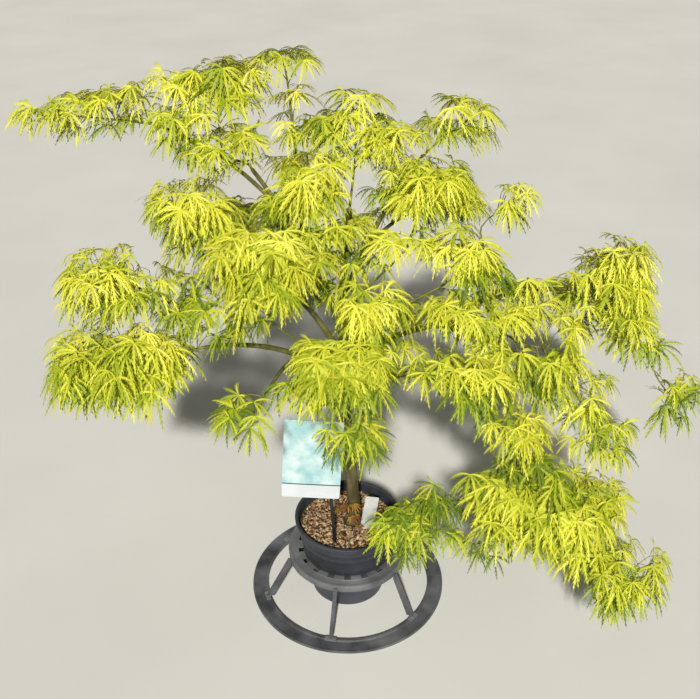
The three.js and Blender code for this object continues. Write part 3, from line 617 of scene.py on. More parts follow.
# The stand
def make_collar():
    """A plate round the pot, notched in its bore, ribbed down its outside, with a near-black ring under it as
    painted shade seen through the notches.
    """
    inside = pot_radius(COLLAR.top) + 2 * CLEARANCE + COLLAR.play
    low, top = COLLAR.top - COLLAR.plate, COLLAR.top
    flange_foot = COLLAR.top - COLLAR.flange_depth
    pitch = 2 * pi / COLLAR.notches
    half_notch, flank = NOTCH.width / 2 / inside, NOTCH.flank
    bearings = []
    for k in range(COLLAR.notches):
        middle = (k + 0.5) * pitch
        for offset in (-half_notch - flank, -half_notch, half_notch, half_notch + flank):
            bearings.append(middle + offset)
        bearings += [middle + half_notch + flank + share * (pitch - 2 * half_notch - 2 * flank)
                     for share in (0.2, 0.4, 0.6, 0.8)]

    def profile(bearing):
        off = (bearing / pitch) % 1 - 0.5
        bore = inside + (NOTCH.depth if abs(off) * pitch < half_notch + flank / 2 else 0)
        rib = 0.7 if int((bearing % (2 * pi)) / pitch * 3) % 2 else 0
        outer, inner = COLLAR.outer, COLLAR.outer - COLLAR.flange_wall
        return rounded([
            (bore, low, 0.4), (inner, low, 0.6), (inner, flange_foot, 0.5), (outer - rib, flange_foot, 0.8),
            (outer - rib, low - 2, 0.5), (outer, low - 1, 0.5), (outer, top, 1.6), (outer - 6, top, 0.6),
            (outer - 7, top - 0.8, 0.6), (inside + 14, top - 0.8, 0.6), (inside + 13, top, 0.6),
            (bore, top, 0.6),
        ], 2)

    near, far, floor = inside - 0.5, inside + SHADE_SEAT.width, low - SHADE_SEAT.depth
    under, outside = floor - SHADE_SEAT.wall, far + SHADE_SEAT.wall
    roof = low - 0.2
    shade_gutter = [(near, floor), (far, floor), (far, roof), (outside, roof), (outside, under), (near, under)]
    plate = turned_mesh(profile, sorted(bearings), True)
    # The near-black ring under the notches is painted shade, in the stick's black plastic
    seat = turned_mesh(lambda bearing: shade_gutter, even_bearings(SIDES.seat), True)
    points, faces, numbers = joined_mesh([(*plate, 0), (*seat, 1)])
    collar = made_piece("stand_top", points, faces, [COLLAR_PLASTIC, STICK_AND_SHADE_PLASTIC], numbers)
    settle(collar, "stand_plastic", "stand_collar")


def make_base_ring():
    """A flat band with a raised inner lip; its face runs in very slight waves."""
    def profile(bearing):
        wave = 0.35 * sin(9 * bearing) + 0.25 * sin(17 * bearing + 1)
        outer, inner = RING.outer - 0.3 + 0.3 * sin(5 * bearing), RING.inner
        lip = inner + RING.lip_width
        return rounded([
            (inner, 0, 0.4), (inner + RING.wall, 0, 0.4), (inner + RING.wall, RING.band - 3, 0.4),
            (outer - RING.wall, RING.band - 3, 0.4), (outer - RING.wall, 0, 0.4), (outer, 0, 0.6),
            (outer - 0.4, RING.band - 0.3, 1.2), (outer - 4, RING.band - 0.3, 0.4),
            (outer - 5, RING.band - 1 + wave, 0.4), (lip + 2, RING.band - 1 + wave, 0.8),
            (lip, RING.lip_height - 0.4, 1.2), (inner, RING.lip_height, 1.4),
        ], 3)

    points, faces = turned_mesh(profile, even_bearings(SIDES.ring), True)
    settle(made_piece("stand_foot_ring", points, faces, [STAND_PLASTIC]), "stand_plastic", "stand_base_ring")


def block_mesh(low, high):
    points = [(x, y, z) for x in (low[0], high[0]) for y in (low[1], high[1]) for z in (low[2], high[2])]
    faces = [(0, 1, 3, 2), (4, 6, 7, 5), (0, 4, 5, 1), (2, 3, 7, 6), (0, 2, 6, 4), (1, 5, 7, 3)]
    return points, faces


def prism_mesh(outline, width):
    """A plate with the outline in the XZ plane and its thickness along Y."""
    count = len(outline)
    points = [(x, side * width / 2, z) for side in (-1, 1) for x, z in outline]
    faces = [tuple(range(count)), tuple(range(2 * count - 1, count - 1, -1))]
    faces += [(k, k + count, (k + 1) % count + count, (k + 1) % count) for k in range(count)]
    return points, faces


def joined_mesh(parts):
    """Several meshes with a material number each, as one."""
    points, faces, numbers = [], [], []
    for part_points, part_faces, number in parts:
        faces += [tuple(i + len(points) for i in face) for face in part_faces]
        points += part_points
        numbers += [number] * len(part_faces)
    return points, faces, numbers


def make_leg(number):
    """A leg: a web between two flanges, and a paler clip over the base ring's lip."""
    top, inside = COLLAR.top - 3, COLLAR.outer + CLEARANCE
    foot = RING.lip_height + CLEARANCE
    reach, foot_top = LEG.foot_reach, foot + LEG.foot_height
    heel, toe = RING.inner - LEG.toe, RING.inner + LEG.toe
    blade = rounded([
        (inside, top, 1), (inside, top - LEG.depth, 1), (heel, foot, 2), (reach, foot, 0.8),
        (reach, foot_top, 1), (toe, foot_top + 2, 4), (inside + 4, top, 2),
    ], 3)
    centre = np.mean(np.array(blade), axis=0)
    web = [tuple(centre + (np.array(point) - centre) * [0.97, 0.99] - [0.3, 0.3]) for point in blade]
    parts = [(*prism_mesh(web, LEG.width - LEG.overhang), 0)]
    slope = atan2(foot_top - top, toe - inside - 4)
    normal = np.array([-sin(slope), cos(slope)]) * LEG.flange
    for start, end in (((inside + 3.4, top - 1), (toe - 0.6, foot_top + 1.4)),
                       ((inside + 1.2, top - LEG.depth + 1), (heel + 1, foot + 1.2))):
        start, end = np.array(start), np.array(end)
        flange = [tuple(start - normal), tuple(end - normal), tuple(end + normal), tuple(start + normal)]
        parts.append((*prism_mesh(flange, LEG.width), 0))
    half = LEG.foot_width / 2
    back = reach - LEG.clip
    parts.append((*block_mesh((back, -half, foot), (reach, half, foot_top - 0.4)), 1))
    parts.append((*block_mesh((back - 2, -3, foot), (reach - 1, 3, foot_top)), 1))
    points, faces, numbers = joined_mesh(parts)
    turn = turn_about("Z", LEG.first_bearing + (number - 1) * 360 / LEG.count)
    points = [tuple(turn @ np.array(point)) for point in points]
    piece = made_piece(f"leg_{number}", points, faces, [STAND_PLASTIC, CLIP_PLASTIC], numbers)
    bevel = piece.modifiers.new("edges", "BEVEL")
    bevel.width = 0.5 * MM
    bevel.segments = 2
    bevel.limit_method = "ANGLE"
    settle(piece, "stand_plastic", f"stand_leg_{number}")


# The label and the tag
def plate_mesh(plate, height, bands, curl):
    """A thin upright plate with round corners, in rows, so that bands of it take their own material."""
    width, corner = plate.width, plate.corner
    arc = [corner * (1 - cos(radians(a))) for a in (0, 22.5, 45, 67.5, 90)]
    levels = sorted(set(arc + [height - rise for rise in arc] + [edge for edge, _ in bands[:-1]]
                        + list(np.linspace(corner, height - corner, 14))))
    columns = np.linspace(-1, 1, 13)
    points, faces, numbers = [], [], []
    for side in (-plate.thickness, 0):
        for level in levels:
            inset = corner - min(level, height - level, corner)
            half = width / 2 - corner + sqrt(max(corner ** 2 - inset ** 2, 0))
            for column in columns:
                bend = curl * (column ** 2 - 0.5) + 0.4 * curl * sin(2.2 * level / height + column)
                points.append((half * column, side + bend, level))
    rows, across = len(levels), len(columns)
    layer = rows * across

    def number_at(row):
        middle = (levels[row] + levels[row + 1]) / 2
        return next(number for edge, number in bands if middle < edge)

    for row in range(rows - 1):
        for column in range(across - 1):
            i = row * across + column
            faces += [(i, i + 1, i + across + 1, i + across),
                      (layer + i, layer + i + across, layer + i + across + 1, layer + i + 1)]
            numbers += [number_at(row)] * 2
        for i in (row * across, row * across + across - 1):
            faces.append((i, i + across, layer + i + across, layer + i))
            numbers.append(number_at(row))
    for row in (0, rows - 1):
        for column in range(across - 1):
            i = row * across + column
            faces.append((i, i + 1, layer + i + 1, layer + i))
            numbers.append(number_at(min(row, rows - 2)))
    return points, faces, numbers


def placed(points, *moves):
    """Points moved by matrices, the last one first."""
    matrix = Matrix.Identity(4)
    for move in moves:
        matrix = matrix @ move
    return [tuple(matrix @ Vector(point)) for point in points]


def shift(x, y, z):
    return Matrix.Translation((x, y, z))


def turn4(axis, degrees):
    return Matrix.Rotation(radians(degrees), 4, axis)


def make_label():
    """The card: a pale mottled panel over a thin line and a white strip, bare of any text."""
    height = LABEL.height
    bands = [(LABEL.strip * height, 1), (LABEL.line * height, 2), (height + 1, 0)]
    points, faces, numbers = plate_mesh(LABEL, height, bands, 0.5)
    points = placed(points, shift(*LABEL_FOOT), turn4("X", -LABEL.tilt_back),
                    shift(LABEL.width / 2 - LABEL.left, -2 * CLEARANCE, LABEL.bottom),
                    turn4("Y", -LABEL.lean))
    card = made_piece("card", points, faces, [CARD_PANEL, CARD_STRIP, CARD_LINE], numbers)
    settle(card, "label_card", "label_card")
    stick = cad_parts["label_stick"]
    stick.data.materials.clear()
    stick.data.materials.append(STICK_AND_SHADE_PLASTIC)


def make_tag():
    bands = [(TAG.length + 1, 0)]
    points, faces, numbers = plate_mesh(TAG, TAG.length, bands, 0.25)
    lift = SOIL.top + CLEARANCE + TAG.width / 2 * sin(radians(-TAG.lean))
    points = placed(points, shift(TAG.x, TAG.y, lift), turn4("Y", -TAG.lean))
    settle(made_piece("tag", points, faces, [TAG_PLASTIC], numbers), "tag", "plant_tag")


# Curves
def unit(vector):
    return vector / norm(vector)


class Path:
    """A smooth route through points, which is read by the share of its length."""

    def __init__(self, points):
        self.points = np.array(points, float)
        steps = norm(np.diff(self.points, axis=0), axis=1)
        self.lengths = np.concatenate([[0], np.cumsum(steps)])
        self.length = self.lengths[-1]

    def at(self, share):
        reach = np.clip(share, 0, 1) * self.length
        return np.stack([np.interp(reach, self.lengths, self.points[:, k]) for k in range(3)], -1)

    def heading(self, share):
        return unit(self.at(min(share + 0.01, 1)) - self.at(max(share - 0.01, 0)))


def bezier_path(points, samples=120):
    share = np.linspace(0, 1, samples)[:, None]
    level = [np.array(point, float) + 0 * share for point in points]
    while len(level) > 1:
        level = [a * (1 - share) + b * share for a, b in zip(level, level[1:])]
    return Path(level[0])


def smooth_path(points, samples=24):
    """A curve through all the points, each of which it passes along the line between its neighbours."""
    points = [np.array(point, float) for point in points]
    ends = [2 * points[0] - points[1]] + points + [2 * points[-1] - points[-2]]
    rows = []
    for before, here, there, after in zip(ends, ends[1:], ends[2:], ends[3:]):
        share = np.linspace(0, 1, samples)[:, None]
        out, into = 0.5 * (there - before), 0.5 * (after - here)
        rows.append((2 * here - 2 * there + out + into) * share ** 3
                    + (-3 * here + 3 * there - 2 * out - into) * share ** 2 + out * share + here)
    return Path(np.concatenate([row if i == 0 else row[1:] for i, row in enumerate(rows)]))


def tube(centres, radii, sides):
    """Points and triangles of a closed tube whose sections keep their turn along it."""
    centres = np.asarray(centres, float)
    headings = np.gradient(centres, axis=0)
    headings /= norm(headings, axis=1)[:, None]
    first = np.cross(headings[0], UP if abs(headings[0][2]) < 0.9 else np.array([1.0, 0, 0]))
    across = [unit(first)]
    for heading in headings[1:]:
        across.append(unit(across[-1] - heading * (across[-1] @ heading)))
    across = np.array(across)
    other = np.cross(headings, across)
    bearings = np.linspace(0, 2 * pi, sides, endpoint=False)
    radii = np.broadcast_to(np.asarray(radii, float).reshape(len(centres), -1), (len(centres), sides))
    rings = (centres[:, None] + radii[..., None] * (across[:, None] * np.cos(bearings)[None, :, None]
                                                    + other[:, None] * np.sin(bearings)[None, :, None]))
    points = np.concatenate([rings.reshape(-1, 3), centres[:1], centres[-1:]])
    rows = np.arange(len(centres) - 1)[:, None] * sides
    here = np.arange(sides)[None, :]
    step = (here + 1) % sides
    a, b = rows + here, rows + step
    walls = np.stack([np.stack([a, b, b + sides], -1), np.stack([a, b + sides, a + sides], -1)], 2)
    last = len(centres) * sides
    foot = np.stack([np.full(sides, last), step[0], here[0]], -1)
    head = np.stack([np.full(sides, last + 1), last - sides + here[0], last - sides + step[0]], -1)
    return points, np.concatenate([walls.reshape(-1, 3), foot, head])


# Trunk and boughs
class Limb:
    """A tapering limb, with points along its middle line for the room that it takes."""

    def __init__(self, name, path, radius_at):
        self.name = name
        self.path = path
        self.radius_at = radius_at
        shares = np.linspace(0, 1, max(8, int(path.length / 5)))
        self.line = path.at(shares)
        self.widths = radius_at(shares)


def trunk_limb():
    path = bezier_path(TRUNK_POINTS)

    def radius_at(share):
        taper = TRUNK.root + (TRUNK.tip - TRUNK.root) * share
        return taper + TRUNK.flare * np.exp(-share * path.length / TRUNK.flare_height)

    return Limb("trunk", path, radius_at)


def bough_limb(name, parent, at, end, arch, radii):
    start = parent.path.at(at)
    end = np.array(end, float)
    middle = start + (end - start) * 0.42 + [0, 0, arch]
    path = bezier_path([start, middle, end])
    return Limb(f"bough_{name}", path, lambda share: radii[0] + (radii[1] - radii[0]) * share)


def make_limb(limb, sides, seed):
    """A limb with the bark's relief: knuckles where leaves once stood, and soft ridges along it."""
    rng = np.random.default_rng(seed)
    rows = max(12, int(limb.path.length / BARK.row))
    shares = np.linspace(0, 1, rows)
    radii = limb.radius_at(shares)[:, None] * np.ones((1, sides))
    reach = shares * limb.path.length
    is_trunk = limb.name == "trunk"
    if not is_trunk:
        radii *= 1 + BARK.collar * np.exp(-reach / BARK.collar_length)[:, None]
    knuckle = rng.uniform(*KNUCKLE.first)
    while knuckle < limb.path.length - 8:
        swelling = np.exp(-((reach - knuckle) / KNUCKLE.width) ** 2)[:, None]
        radii *= 1 + rng.uniform(*KNUCKLE.rise) * swelling
        knuckle += rng.uniform(*KNUCKLE.step)
    bearings = np.linspace(0, 2 * pi, sides, endpoint=False)
    for i in range(rows):
        for j in range(sides):
            spot = Vector((cos(bearings[j]) * 2.2, sin(bearings[j]) * 2.2, reach[i] / 34 + seed))
            ridge = noise.noise(spot)
            grain = noise.noise(spot * 3.7)
            radii[i, j] *= 1 + BARK.ridge * ridge + BARK.grain * grain
    if is_trunk:
        waves = np.cos(ROOT_LOBES.count * bearings + 0.8)[None, :]
        lobes = np.exp(-reach / ROOT_LOBES.height)[:, None] * waves
        radii *= 1 + ROOT_LOBES.rise * lobes
    build = Build()
    build.add(*tube(limb.path.at(shares), radii, sides))
    settle(build.object(f"bark_{limb.name}", [TRUNK_BARK if is_trunk else BOUGH_BARK]), "bark", limb.name)


# Growth
def seeded_draws(seed):
    """Numbers between 0 and 1 that are the same for the same seed, as in the solids."""
    state = seed
    while True:
        state = (state * 1664525 + 1013904223) % 4294967296
        yield state / 4294967296


class Mass:
    """A mass of foliage: the puffs of space that it fills, and what sets its leaves apart."""

    def __init__(self, name, limb, at, puffs, number):
        self.name = name
        self.limb = limb
        self.at = at
        filled = np.array(puffs + TUFTS.get(name, []), float)
        self.centres, self.halves = filled[:, :3], filled[:, 3:]
        self.route, self.reach = self.centres[:len(puffs)], self.halves[len(puffs) - 1]
        self.seed = 1000 + 77 * number
        self.is_shoot = name == "low_shoot"
        self.leaf = SHOOT_LEAF if self.is_shoot else LEAF
        self.radius = self.leaf.radius
        self.skin = TIP_SKIN
        self.greener = PAINTED_SHADE_STEPS.get(name, 0)

    def depth(self, places):
        """How far out places lie in this mass's space: 0 at a puff's centre, 1 on its skin."""
        places = np.atleast_2d(places)
        levels = norm((places[:, None] - self.centres) / self.halves, axis=2)
        return levels.min(axis=1)

    def stem(self, limb):
        """The stem's route from its limb through the puffs, as in the solids."""
        start = limb.path.at(self.at)
        points = [start]
        if self.at == 1:
            points.append(start + limb.path.heading(1) * 14)
        before = self.route[-2] if len(self.route) > 1 else start
        last = self.route[-1]
        outward = unit((last - before) * [1, 1, 0])
        end = last + outward * self.reach * [0.45, 0.45, 0]
        points += [*self.route[:-1], last + (start - last) * 0.15, end]
        scale = 0.5 if self.is_shoot else 1
        return Limb(self.name, smooth_path(points),
                    lambda share: scale * (STEM.root + (STEM.tip - STEM.root) * share))


def along_mass(limb, number):
    """The space round a bough's outer part, which short shoots from it fill."""
    start = ALONG.trunk_start if limb.name == "trunk" else ALONG.start
    shares = np.arange(start, 0.97, ALONG.step / limb.path.length)
    puffs = [(*(limb.path.at(share) + [0, 0, ALONG.lift]), *ALONG.half) for share in shares]
    mass = Mass(f"along_{limb.name}", limb.name, 0, puffs, number)
    mass.radius *= ALONG.size
    mass.skin = ALONG.skin
    mass.greener = ALONG.greener
    return mass


def is_own_place(mass, masses, place):
    """True for a place inside the mass's skin that lies deeper in it than in any other mass."""
    own = mass.depth(place)[0]
    others = min(other.depth(place)[0] for other in masses if other is not mass)
    return own < 1 and own < others - 0.04


def clear_of_limbs(points, limbs, margin):
    """True where all points keep a margin off the limbs."""
    for limb in limbs:
        gaps = norm(points[:, None] - limb.line[None], axis=2) - limb.widths
        if gaps.min() < margin:
            return False
    return True


def clear_of_pot(points):
    """True where all points are outside the pot, the stand and the label."""
    for x, y, z in points:
        reach = hypot(x, y)
        beside_pot = z < POT.height + KEEP_OFF
        if beside_pot and SOIL.top + 4 < z and reach < POT.wall_top - 12:
            continue
        if beside_pot and reach < POT.lip + KEEP_OFF:
            return False
        if z < COLLAR.top + KEEP_OFF and reach < RING.outer + RING_KEEP_OFF:
            return False
        near_card = abs(y - LABEL_FOOT[1] - (z - SOIL.top) * CARD_ROOM.slope) < CARD_ROOM.depth
        left_edge = LABEL_FOOT[0] - LABEL.left - CARD_ROOM.left
        beside_card = left_edge < x < left_edge + LABEL.width + CARD_ROOM.sides
        below_card_top = z < SOIL.top + LABEL.bottom + LABEL.height + CARD_ROOM.above
        if near_card and beside_card and below_card_top:
            return False
    return True


def share_in_gaps(places):
    """The share of some places that the photograph's camera would see inside the crown's openings."""
    offset = places * MM - np.array(CAMERA_PLACE)
    down = radians(CAMERA_DOWN)
    depth = offset[:, 1] * cos(down) - offset[:, 2] * sin(down)
    rise = offset[:, 1] * sin(down) + offset[:, 2] * cos(down)
    focal = CAMERA_LENS / SENSOR_WIDTH * VIEW_SIZE[0]
    across, height = VIEW_SIZE[0] / 2 + focal * offset[:, 0] / depth, VIEW_SIZE[1] / 2 - focal * rise / depth
    inside = [np.hypot((across - x) / half_x, (height - y) / half_y) < 1
              for x, y, half_x, half_y in CROWN_GAPS]
    return np.mean(np.any(inside, axis=0))


def to_tier(place):
    """How far a place is below the nearest tier; the tiers fall away from the trunk."""
    height = place[2] + TIER.slope * np.hypot(place[0], place[1])
    return TIER.rise * round(height / TIER.rise) - height


def spray_places(mass, draw):
    """Places for sprays: a spiral over each puff's top and flanks, then one inside it."""
    radius = mass.radius
    spacing = mass.leaf.spacing * radius
    for shell in SHELLS:
        for centre, half in zip(mass.centres, mass.halves):
            room = np.maximum(half - radius * np.array(SPRAY.inset), SPRAY.least_room * half)
            count = round(SPRAY.share * shell * np.prod(half) ** (2 / 3) / spacing ** 2)
            for k in range(count):
                level = SPRAY.top - SPRAY.fall * (k + 0.5) / count
                ring = sqrt(1 - level * level)
                turn = k * GOLDEN_ANGLE + 0.6 * next(draw)
                depth = shell * (SPRAY.depth + SPRAY.more_depth * next(draw))
                offset = np.array([ring * cos(turn), ring * sin(turn), level]) * room * depth
                place = centre + offset + [0, 0, radius * SPRAY.lift]
                if not mass.is_shoot:
                    place[2] += TIER.pull * to_tier(place)
                yield place


def twig_root(stem, place, draw):
    """Where a spray's twig starts: on the stem, a little nearer its foot than the nearest place on it."""
    shares = np.arange(0.1, 1, 0.02)
    gaps = norm(stem.path.at(shares) - place, axis=1)
    back = min(0.3 * gaps.min(), 40) / stem.path.length
    return stem.path.at(np.clip(shares[gaps.argmin()] - back - 0.04 * next(draw), 0.08, 0.97))


# A spray's pairs of leaves: where on its twig each stands and how far it turns aside, in degrees
SPRAY_PAIRS = [(1.0, 38), (0.62, 64)]
SHOOT_PAIRS = [(1.0, 40)]
TWIG = Values(rise=0.14, taper=0.45, short=60, turn=12, up=0.5, petiole=(0.7, 1.15), petiole_rise=0.12)

# A leaf's lobes by their number: bearings in degrees and lengths as shares of the leaf's reach
LOBE_BEARINGS = {7: (-92, -60, -29, 0, 29, 60, 92), 9: (-112, -81, -53, -26, 0, 26, 53, 81, 112)}
LOBE_LENGTHS = {7: (0.6, 0.86, 0.97, 1, 0.97, 0.86, 0.6), 9: (0.5, 0.74, 0.9, 0.98, 1, 0.98, 0.9, 0.74, 0.5)}

# A lobe's middle line: its steps, the noise on its bearing, its length, and how it falls, lifts and curls
LOBE_STEPS = 7
LOBE = Values(turn=0.12, length=(0.78, 1.12), fall_noise=0.2, fall=(0.3, 2.6), lift=(0.2, 0.6), curl=0.2,
              fold=(-0.7, 0.25))

# Where on a lobe of an 80 mm leaf it has which half width, and how far its barbs stand out there
LOBE_SIZE = 80
LOBE_WIDTHS = ([0, 0.12, 0.45, 0.8, 1], [1.05, 1.4, 2.1, 1.4, 0.12])
BARB_WIDTHS = ([0, 0.15, 0.38, 0.65, 0.9, 1], [0.6, 3.2, 7.6, 6.4, 2.8, 0.9])
BARB = Values(heel=0.46, sweep=1.9, advance=2, spread=(0.7, 1.25), fold=0.8)

# How a leaf faces: the pulls off the trunk and to the light, which is less behind the shade's edge, how far
# the leaf's face tips forwards, and the noise on that
FACING = Values(outward=0.5, near=120, sunward=0.75, shade_edge=320, sun_reach=200, least_sun=0.2,
                tip=(0.5, 1.2), noise=0.16)

# The most of a leaf that may lie in an opening, and the sizes that are tried for it in turn
GAP_SHARE = 0.3
LEAF_SIZES = (1, 0.85, 0.7)
PINK_SHARE = 0.35
MOST_TRIANGLES = 180000


def lobe_triangles(steps):
    """Triangles of one lobe: its midrib, two edges, and for each barb its heel on the edge and its tip."""
    mid, left, right = 0, steps + 1, 2 * (steps + 1)
    left_heels = 3 * (steps + 1)
    right_heels, left_tips, right_tips = (left_heels + k * steps for k in (1, 2, 3))
    triangles = []
    for i in range(steps):
        triangles += [
            (mid + i, mid + i + 1, left + i + 1), (mid + i, left + i + 1, left + i),
            (left + i, left_heels + i, left_tips + i),
            (mid + i, right + i + 1, mid + i + 1), (mid + i, right + i, right + i + 1),
            (right + i, right_tips + i, right_heels + i),
        ]
    return np.array(triangles)


def leaf_points(centre, axis, forward, radius, lobes, droop, rng, breadth):
    """A laceleaf: narrow barbed lobes from one centre that arch over and hang to long thin tips."""
    side = np.cross(axis, forward)
    bearings = np.radians(LOBE_BEARINGS[lobes]) + rng.normal(0, LOBE.turn, lobes)
    lengths = radius * np.array(LOBE_LENGTHS[lobes]) * rng.uniform(*LOBE.length, lobes)
    first = np.cos(bearings)[:, None] * forward + np.sin(bearings)[:, None] * side
    across = np.cross(axis, first)
    across = (across / norm(across, axis=1)[:, None])[:, None]
    shares = np.linspace(0, 1, LOBE_STEPS + 1)
    along = shares[None, :, None]
    fall = np.clip(droop + rng.normal(0, LOBE.fall_noise, lobes), *LOBE.fall)[:, None, None] * along
    lift = rng.uniform(*LOBE.lift, lobes)[:, None, None]
    curl = rng.normal(0, LOBE.curl, lobes)[:, None, None] * along ** 1.5
    heading = first[:, None] + axis * lift * (1 - along) - UP * fall + across * curl
    heading /= norm(heading, axis=2)[..., None]
    steps_out = 0.5 * (heading[:, 1:] + heading[:, :-1]) * (lengths / LOBE_STEPS)[:, None, None]
    mid = np.concatenate([np.zeros((lobes, 1, 3)), np.cumsum(steps_out, axis=1)], 1) + centre
    normal = np.cross(heading, across)
    normal /= norm(normal, axis=2)[..., None]
    scale = radius / LOBE_SIZE
    core = scale * breadth * np.interp(shares, *LOBE_WIDTHS)[None, :, None]
    fold = rng.uniform(*LOBE.fold, lobes)[:, None, None]
    left = mid + across * core + normal * core * fold
    right = mid - across * core + normal * core * fold
    spread = scale * np.interp(0.5 * (shares[1:] + shares[:-1]), *BARB_WIDTHS)
    spread = spread[None, :, None] * rng.uniform(*BARB.spread, (lobes, LOBE_STEPS, 1))
    base = mid[:, :-1] + heading[:, 1:] * (spread * BARB.sweep + BARB.advance * scale)
    raised = normal[:, 1:] * spread * fold * BARB.fold
    left_tips = base + across * spread + raised
    right_tips = base - across * spread + raised
    heels = [edge[:, :-1] + BARB.heel * (edge[:, 1:] - edge[:, :-1]) for edge in (left, right)]
    return np.concatenate([mid, left, right, *heels, left_tips, right_tips], 1), mid


LOBE_TRIANGLES = lobe_triangles(LOBE_STEPS)


def add_leaf(build, points, tones):
    """One leaf, with a tone for each lobe."""
    lobes, count = points.shape[:2]
    triangles = (LOBE_TRIANGLES[None] + (np.arange(lobes) * count)[:, None, None]).reshape(-1, 3)
    build.add(points.reshape(-1, 3), triangles, np.repeat(tones, len(LOBE_TRIANGLES)))


def leaf_facing(centre, out, lean, rng):
    """A leaf's normal, and the way of its middle lobe: off its twig, off the trunk and towards the light."""
    outward = (centre - TRUNK_POINTS[2]) * [1, 1, 0]
    light = float(np.clip((FACING.shade_edge - centre[1]) / FACING.sun_reach, FACING.least_sun, 1))
    sunward = FACING.sunward * light * np.array([0, -1, 0])
    outward = FACING.outward * outward / max(norm(outward), FACING.near)
    forward = unit(unit(out * [1, 1, 0]) + outward + sunward)
    tipped = UP + rng.uniform(*FACING.tip) * forward
    axis = unit(tipped + lean + rng.normal(0, FACING.noise, 3) * [1, 1, 0])
    return axis, unit(forward - axis * (forward @ axis))


